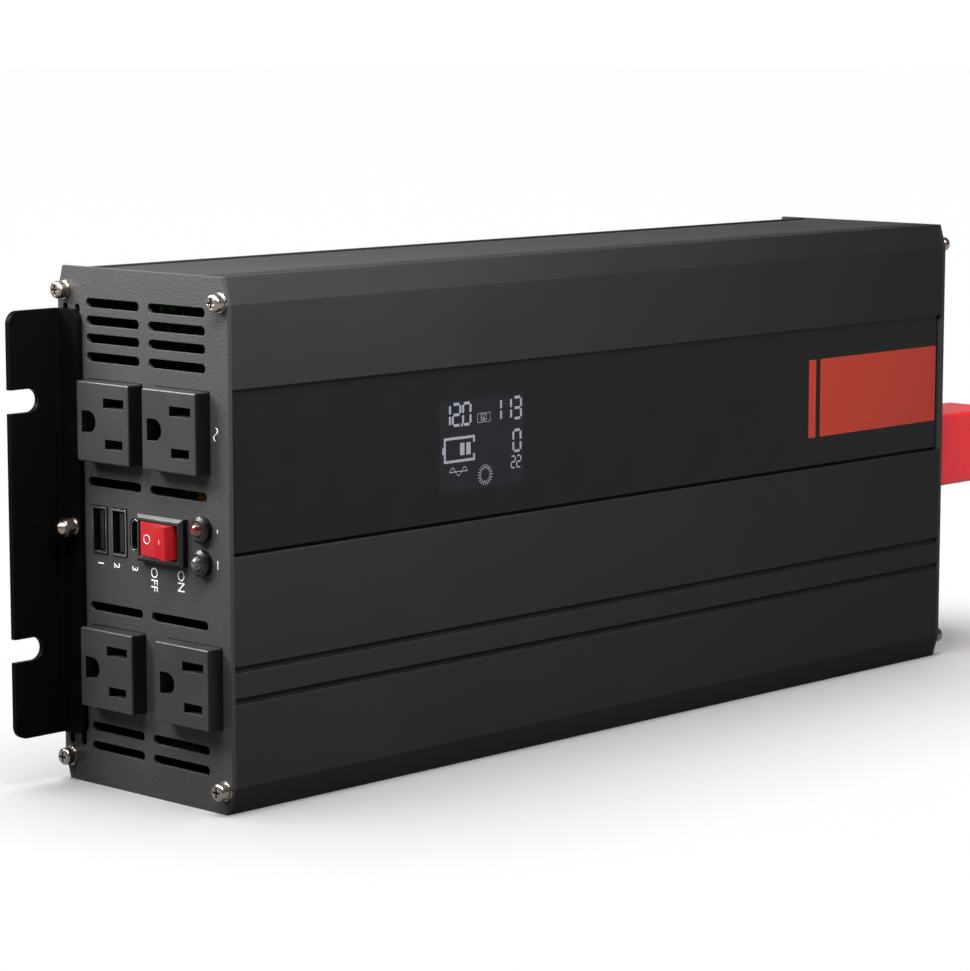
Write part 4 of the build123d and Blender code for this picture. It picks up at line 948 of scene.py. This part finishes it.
@dataclass
class Outlets:
    """The four mains outlets with their contacts and the wave marks beside them."""

    nodes: tuple[str, ...] = ("outlet_upper_rear", "outlet_upper_front", "outlet_lower_rear",
                              "outlet_lower_front")
    plastic: Finish = Moulding("outlet_plastic", (0.0085, 0.0085, 0.0088), 0.4, grain=0.35 * MM,
                               depth=0.004 * MM, edge=0.15 * MM, specular=0.16)
    contact: Finish = Plate("contact_brass", (0.75, 0.55, 0.25), 0.3, stain=(0.5, 0.35, 0.15))
    white: Finish = Ink("print_white", (0.2, 0.2, 0.2), 0.5)
    wave_steps: int = 20
    wave_swing: float = 0.22  # share of the sign's width
    wave_line: float = 0.5 * MM
    wave_width: float = 4.2 * MM
    wave_shifts: Spot = (1.9 * MM, 1.6 * MM)  # from the upper and the lower front outlet
    print_thick: float = 0.03 * MM

    def dress(self) -> None:
        """Finish the outlets and print their marks."""
        lay(self.plastic, self.nodes)
        lay(self.contact, ("outlet_contacts", "switch_tabs"))
        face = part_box("outlet_panel")[0][0]
        maker = Maker()
        for name in ("outlet_upper_front", "outlet_lower_front"):
            low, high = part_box(name)
            spot = Maker()
            spot.wave((-self.wave_width / 2, 0.0), self.wave_width, 1.0, self.wave_swing, self.wave_steps,
                      self.wave_line)
            above, below = self.wave_shifts
            y = low[1] - above if name == "outlet_upper_front" else high[1] + below
            spot.place(on_face(Facing.OUTLET_END, (face - 0.02 * MM, y, (low[2] + high[2]) / 2), -90))
            data = bpy.data.meshes.new("wave")
            spot.mesh.to_mesh(data)
            spot.mesh.free()
            maker.mesh.from_mesh(data)
        bmesh.ops.solidify(maker.mesh, geom=list(maker.mesh.faces), thickness=self.print_thick)
        maker.finish("wave_marks", self.white, "case", "label_gloss")


@dataclass
class Controls:
    """Charging ports, rocker switch, lamps and the marks around them."""

    letter: float = 4.4 * MM
    ring: float = 1.35 * MM  # ring on the rocker
    dash: float = 0.75 * MM  # half the length of its bar
    hair: float = 0.11 * MM  # half thickness of their strokes
    ring_steps: int = 32
    ring_stretch: float = 1.15
    mark_lift: float = 0.02 * MM
    rocker_rise: float = 1.05  # the rocker's ends above its middle, over rocker_half
    rocker_half: float = 7.7
    rocker_tilt: float = 13.0  # degrees
    mark_spot: Spot = (4.17 * MM, 3.9 * MM)  # marks, out of the pivot and beside it
    word_shifts: Point = (3.4 * MM, 5.2 * MM, 4.6 * MM)  # ON, OFF and both below the frame
    off_drop: float = 0.8 * MM
    digit: float = 3.8 * MM
    digit_drop: float = 3.2 * MM
    digit_shifts: Point = (3.5 * MM, 10.5 * MM, 1.9 * MM)
    tick_shifts: Spot = (2.6 * MM, 2.1 * MM)  # both sides of a tick, from the lamps
    tick_lengths: Spot = (1.2 * MM, 2.6 * MM)
    tick_thick: float = 0.04 * MM
    tongue_places: Spot = (3.05, 12.35)  # from the ports' rear edge, in millimetres
    pin_count: int = 4
    pin_pitch: float = 2.5 * MM
    white: Finish = Ink("print_white", (0.2, 0.2, 0.2), 0.5)
    mark: Finish = Ink("mark_white", (0.26, 0.2, 0.2), 0.5)
    # The plated steel is darkened to near black: painted shade inside the port openings.
    port: Finish = Plate("port_steel", (0.16, 0.16, 0.165), 0.3, stain=(0.08, 0.08, 0.085))
    tongue: Finish = Moulding("port_tongue", (0.003, 0.003, 0.003), 0.35)
    frame: Finish = Moulding("switch_plastic", (0.004, 0.004, 0.004), 0.3, depth=0.004 * MM, specular=0.3)
    rocker: Finish = Moulding("rocker_plastic", (0.085, 0.0022, 0.0032), 0.3, depth=0.004 * MM,
                              specular=0.15)
    red_lens: Finish = Lens("lens_red", (0.06, 0.003, 0.003), 0.12, glow=0.04)
    clear_lens: Finish = Lens("lens_clear", (0.03, 0.03, 0.032), 0.1)
    holder: Finish = Moulding("lamp_plastic", (0.003, 0.003, 0.0032), 0.28, specular=0.25)

    def dress(self) -> None:
        """Finish the controls and print their marks."""
        for finish, node in ((self.port, "usb_ports"), (self.tongue, "usb_tongues"),
                             (self.frame, "switch_frame"), (self.rocker, "switch_rocker"),
                             (self.red_lens, "fault_lamp"), (self.clear_lens, "power_lamp"),
                             (self.holder, "lamp_holders")):
            lay(finish, (node,))
        self.panel_marks()
        self.rocker_marks()
        self.port_pins()

    def panel_marks(self) -> None:
        """Print ON and OFF under the switch, numbers by the ports and ticks by the lamps."""
        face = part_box("outlet_panel")[0][0] - self.mark_lift
        low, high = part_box("switch_frame")
        shift_on, shift_off, drop = self.word_shifts
        words = (("ON", low[1] + shift_on, low[2] - drop),
                 ("OFF", high[1] - shift_off, low[2] - drop - self.off_drop))
        meshes = [lettering(word, self.letter, on_face(Facing.OUTLET_END, (face, y, z), -90))
                  for word, y, z in words]
        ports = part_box("usb_ports")
        first, second, third = self.digit_shifts
        places = (ports[1][1] - first, ports[0][1] + second, ports[0][1] + third)
        for number, y in zip("123", places):
            place = on_face(Facing.OUTLET_END, (face, y, ports[0][2] - self.digit_drop), -90)
            meshes.append(lettering(number, self.digit, place))
        add_piece("panel_lettering", join("panel_lettering", meshes), self.white, "case")
        maker = Maker()
        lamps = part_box("lamp_holders")
        for name in ("fault_lamp", "power_lamp"):
            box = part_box(name)
            middle = (box[0][2] + box[1][2]) / 2
            length = self.tick_lengths[1] if name == "power_lamp" else self.tick_lengths[0]
            maker.block((face, lamps[0][1] - self.tick_shifts[0], middle - length / 2),
                        (face + self.tick_thick, lamps[0][1] - self.tick_shifts[1], middle + length / 2))
        maker.finish("lamp_ticks", self.white, "case", "label_gloss")

    def rocker_marks(self) -> None:
        """Print the ring and the bar on the rocker's two halves."""
        joint = next(item for item in frame["joints"] if item["name"] == "rocker_tilt")
        pivot = Vector(joint["pos_m"])
        low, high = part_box("switch_rocker")
        middle = (low[2] + high[2]) / 2
        slope = math.atan2(self.rocker_rise, self.rocker_half)
        tilt = math.radians(self.rocker_tilt)
        meshes = []
        for side in (1, -1):
            out, aside = self.mark_spot
            place = pivot + Matrix.Rotation(-tilt, 3, "Z") @ Vector((-out, side * aside, 0.0))
            place.z = middle
            turned = Matrix.Rotation(-tilt + side * slope, 4, "Z")
            basis = turned @ on_face(Facing.OUTLET_END, (0, 0, 0), -90)
            mark = Maker()
            if side > 0:
                steps = self.ring_steps
                ring = [(self.ring * math.cos(math.tau * step / steps),
                         self.ring_stretch * self.ring * math.sin(math.tau * step / steps))
                        for step in range(steps)]
                for index, (x, y) in enumerate(ring):
                    x1, y1 = ring[(index + 1) % steps]
                    mark.bar((x, y, 0.0), (x1, y1, 0.0), self.hair, segments=6)
            else:
                mark.block((-self.dash, -self.hair, 0.0), (self.dash, self.hair, self.mark_lift))
            mark.place(Matrix.Translation(place) @ basis)
            data = bpy.data.meshes.new("mark")
            mark.mesh.to_mesh(data)
            mark.mesh.free()
            meshes.append(data)
        add_piece("rocker_marks", join("rocker_marks", meshes), self.mark, "rocker")

    def port_pins(self) -> None:
        """Add the four contact strips on each large port's tongue."""
        low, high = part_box("usb_tongues")
        maker = Maker()
        middle = (low[2] + high[2]) / 2
        for offset in self.tongue_places:
            y = high[1] - offset * MM - 0.35 * MM
            for index in range(self.pin_count):
                z = middle + (index - (self.pin_count - 1) / 2) * self.pin_pitch
                maker.block((low[0] + 0.8 * MM, y - 0.12 * MM, z - 0.5 * MM),
                            (low[0] + 8 * MM, y + 0.02 * MM, z + 0.5 * MM))
        maker.finish("port_pins", Plate("pin_gold", (0.85, 0.65, 0.3), 0.25), "case", "contact_brass")


@dataclass
class FanEnd:
    """The two fans with wire guards, and the battery terminals with slip-on covers."""

    wire: float = 0.85 * MM
    rings: Point = (8.0, 15.0, 22.0)  # radii, in millimetres
    cross: float = 0.6  # radius of the cross wires, as a share of the rings' wire
    reach: float = 20.0 * MM  # screws, from the fan's axis
    cross_end: float = 2 * MM  # the cross stops this far inside them
    eye: float = 2.55 * MM  # eyes around the screws
    eye_share: float = 0.55  # their wire, as a share of the rings'
    plastic: Finish = Moulding("fan_plastic", (0.016, 0.016, 0.017), 0.42, depth=0.008 * MM)
    rotor: Finish = Moulding("rotor_plastic", (0.02, 0.02, 0.021), 0.34, depth=0.004 * MM, coat=0.15)
    chrome: Finish = Plate("guard_chrome", (0.82, 0.82, 0.82), 0.14, stain=(0.6, 0.6, 0.6))
    red: Finish = Moulding("cover_red", (0.37, 0.0125, 0.0165), 0.5, grain=0.35 * MM, depth=0.008 * MM)
    black: Finish = Moulding("cover_black", (0.014, 0.014, 0.015), 0.45, grain=0.35 * MM, depth=0.008 * MM)
    insulator: Finish = Moulding("insulator_plastic", (0.02, 0.02, 0.02), 0.5)
    brass: Finish = Threaded("stud_brass", (0.76, 0.58, 0.28), 0.26, stain=(0.55, 0.38, 0.18))
    nut: Finish = Plate("terminal_nickel", (0.7, 0.67, 0.6), 0.25)

    def dress(self) -> None:
        """Finish the end's nodes and build the wire guards."""
        lay(self.plastic, ("fan_frame_lower", "fan_frame_upper"))
        lay(self.rotor, ("fan_rotor_lower", "fan_rotor_upper"))
        lay(self.chrome, ("fan_guard_lower", "fan_guard_upper"))
        lay(self.red, ("positive_cover",))
        lay(self.black, ("negative_cover",))
        lay(self.insulator, ("terminal_insulators",))
        lay(self.brass, ("positive_stud", "negative_stud"))
        lay(self.nut, ("terminal_nuts",))
        for name in ("lower", "upper"):
            self.guard(name)

    def guard(self, name: str) -> None:
        """Build one finger guard from bent wire and washers.

        Args:
            name: lower or upper.
        """
        node = "fan_guard_" + name
        low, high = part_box(node)
        middle = [(low[axis] + high[axis]) / 2 for axis in range(3)]
        maker = Maker()
        outer = high[0] - self.wire
        for radius in self.rings:
            maker.ring((outer, middle[1], middle[2]), radius * MM, self.wire)
        inner = low[0] + self.wire * self.cross
        tip = self.reach - self.cross_end
        for y, z in ((1, 1), (1, -1)):
            start = (inner, middle[1] - y * tip, middle[2] - z * tip)
            end = (inner, middle[1] + y * tip, middle[2] + z * tip)
            maker.bar(start, end, self.wire * self.cross)
        for y in (-1, 1):
            for z in (-1, 1):
                wire = self.wire * self.eye_share
                centre = (low[0] + wire, middle[1] + y * self.reach, middle[2] + z * self.reach)
                maker.ring(centre, self.eye, wire, 28)
        piece = maker.finish("wire_guard_" + name, self.chrome, "case", "guard_chrome", smooth=True)
        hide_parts(node)


@dataclass
class Electronics:
    """What stands on the boards inside, seen through the vents and the fan guards."""

    board: Finish = Laminate("board_green", (0.012, 0.09, 0.035), 0.4)
    finishes: dict[str, Finish] = field(default_factory=lambda: {
        "transformer_cores": Moulding("ferrite", (0.03, 0.03, 0.032), 0.55, depth=0.03 * MM),
        "transformer_windings": Wrapped("winding_tape", (0.72, 0.5, 0.05), 0.35, pitch=4.0 * MM, along="Y"),
        "input_capacitors": Wrapped("capacitor_sleeve", (0.015, 0.02, 0.05), 0.3, pitch=25 * MM, along="Y"),
        "bulk_capacitors": Wrapped("bulk_sleeve", (0.012, 0.014, 0.03), 0.28, pitch=42 * MM, along="Y"),
        "output_choke": Wrapped("choke_wire", (0.55, 0.2, 0.05), 0.3, pitch=1.1 * MM, along="Z"),
        "filter_block": Moulding("filter_case", (0.42, 0.03, 0.02), 0.35, coat=0.2),
        "heat_bars": Plate("bar_aluminium", (0.72, 0.72, 0.73), 0.35, drawn=Grain.LENGTHWISE),
        "transistors": Moulding("transistor_epoxy", (0.02, 0.02, 0.02), 0.5, depth=0.02 * MM),
        "bus_bars": Plate("copper", (0.8, 0.42, 0.25), 0.3, stain=(0.5, 0.25, 0.14)),
        "board_standoffs": Plate("standoff_brass", (0.75, 0.58, 0.3), 0.3),
        "blade_fuses": Moulding("fuse_plastic", (0.06, 0.4, 0.08), 0.25, coat=0.4),
        "line_wires": Moulding("wire_red", (0.5, 0.015, 0.012), 0.45),
        "neutral_wires": Moulding("wire_black", (0.015, 0.015, 0.016), 0.45),
        "ground_wires": Moulding("wire_green", (0.02, 0.22, 0.04), 0.45),
        "display_glass": Moulding("glass_dark", (0.02, 0.022, 0.03), 0.1, coat=0.4),
    })

    def dress(self) -> None:
        """Finish the boards and their parts."""
        lay(self.board, ("main_board", "control_board", "usb_board", "display_board"))
        for node, finish in self.finishes.items():
            lay(finish, (node,))


# ---- studio ----
@dataclass(frozen=True)
class SoftBox:
    """A rectangular soft light."""

    name: str
    place: Point
    target: Point
    width: float
    height: float
    power: float

    def hang(self, pieces: list[bpy.types.Object]) -> None:
        """Put the light into the scene, turned towards its target.

        Args:
            pieces: What it lights, so that it leaves no patch on the floor.
        """
        lit = bpy.data.collections.new(f"lit_by_{self.name}")
        for piece in pieces:
            lit.objects.link(piece)
        data = bpy.data.lights.new(self.name, "AREA")
        data.shape = "RECTANGLE"
        data.size = self.width
        data.size_y = self.height
        data.energy = self.power
        lamp = bpy.data.objects.new(self.name, data)
        lamp.location = self.place
        lamp.rotation_euler = (Vector(self.target) - Vector(self.place)).to_track_quat("-Z", "Y").to_euler()
        bpy.context.scene.collection.objects.link(lamp)
        lamp.light_linking.receiver_collection = lit
        lamp.visible_camera = False


@dataclass
class Studio:
    """Pale floor, soft lights and the camera."""

    camera_place: Point = (-0.8413, -0.7789, 0.2389)
    flagged: tuple[str, ...] = ("outlet_upper", "outlet_lower", "switch_frame", "lamp", "usb",
                               "fault", "power")    # kept out of the front light
    camera_sight: Point = (0.71549, 0.68488, -0.13789)
    lens: float = 124.34
    floor: Finish = Ink("floor_paper", (0.93, 0.93, 0.93), 0.8)
    floor_reach: float = 12.0
    backdrop: float = 1.0  # what the camera sees behind the part
    fill: float = 0.18  # what lights the part from all around
    overhead: float = 2.95  # even light from above
    overhead_spread: float = 1.1  # its angle, for soft shadows
    front_box: SoftBox = SoftBox("front_box", (-0.24, -0.17, 0.38), (-0.08, -0.04, 0.15), 0.5, 0.1, 17.0)
    end_box: SoftBox = SoftBox("end_box", (-0.4, 0.2, 0.34), (-0.18, 0.0, 0.15), 0.2, 0.18, 12.0)
    back_box: SoftBox = SoftBox("back_box", (0.8, 0.78, 0.34), (0.0, 0.0, 0.16), 1.3, 0.4, 1.4)

    def build(self) -> None:
        """Set up the floor, the lights, the surroundings and the camera."""
        self.floor_sheet()
        self.surroundings()
        self.sun()
        pieces = [piece for piece in bpy.context.scene.objects
                  if piece.type == "MESH" and piece.name != "floor"]
        self.front_box.hang([piece for piece in pieces if not piece.name.startswith(self.flagged)])
        self.end_box.hang(pieces)
        self.back_box.hang(pieces)
        self.camera()

    def floor_sheet(self) -> None:
        """Lay the paper that the case stands on."""
        sheet_mesh = bmesh.new()
        bmesh.ops.create_grid(sheet_mesh, x_segments=2, y_segments=2, size=self.floor_reach)
        data = bpy.data.meshes.new("floor")
        sheet_mesh.to_mesh(data)
        sheet_mesh.free()
        data.materials.append(self.floor.material())
        sheet = bpy.data.objects.new("floor", data)
        bpy.context.scene.collection.objects.link(sheet)

    def surroundings(self) -> None:
        """Give the camera a white background, and the part a dimmer surrounding."""
        world = bpy.data.worlds.new("studio")
        world.use_nodes = True
        tree = world.node_tree
        back = tree.nodes["Background"]
        back.inputs["Color"].default_value = (1.0, 1.0, 1.0, 1.0)
        seen = tree.nodes.new("ShaderNodeMapRange")
        seen.inputs["To Min"].default_value = self.fill
        seen.inputs["To Max"].default_value = self.backdrop
        rays = tree.nodes.new("ShaderNodeLightPath")
        tree.links.new(rays.outputs["Is Camera Ray"], seen.inputs["Value"])
        tree.links.new(seen.outputs[0], back.inputs["Strength"])
        bpy.context.scene.world = world
        bpy.context.scene.view_settings.view_transform = "Standard"

    def sun(self) -> None:
        """Light the floor evenly from above."""
        data = bpy.data.lights.new("overhead", "SUN")
        data.energy = self.overhead
        data.angle = self.overhead_spread
        lamp = bpy.data.objects.new("overhead", data)
        lamp.rotation_euler = Vector((0.12, -0.1, -1.0)).to_track_quat("-Z", "Y").to_euler()
        bpy.context.scene.collection.objects.link(lamp)

    def camera(self) -> None:
        """Place the camera."""
        data = bpy.data.cameras.new("camera")
        data.sensor_width = 36.0
        data.lens = self.lens
        data.clip_end = 40.0
        camera = bpy.data.objects.new("camera", data)
        camera.location = self.camera_place
        camera.rotation_euler = Vector(self.camera_sight).to_track_quat("-Z", "Y").to_euler()
        bpy.context.scene.collection.objects.link(camera)
        bpy.context.scene.camera = camera


def main() -> None:
    """Dress the inverter and set up the studio."""
    logging.basicConfig(level=logging.INFO, format="%(name)s: %(message)s")
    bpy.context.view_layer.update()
    for part in (Case(), LabelStrip(), Display(), Outlets(), Controls(), FanEnd(), Electronics()):
        LOG.info("dressing %s", type(part).__name__)
        part.dress()
    Studio().build()


if __name__ == "__main__":
    main()
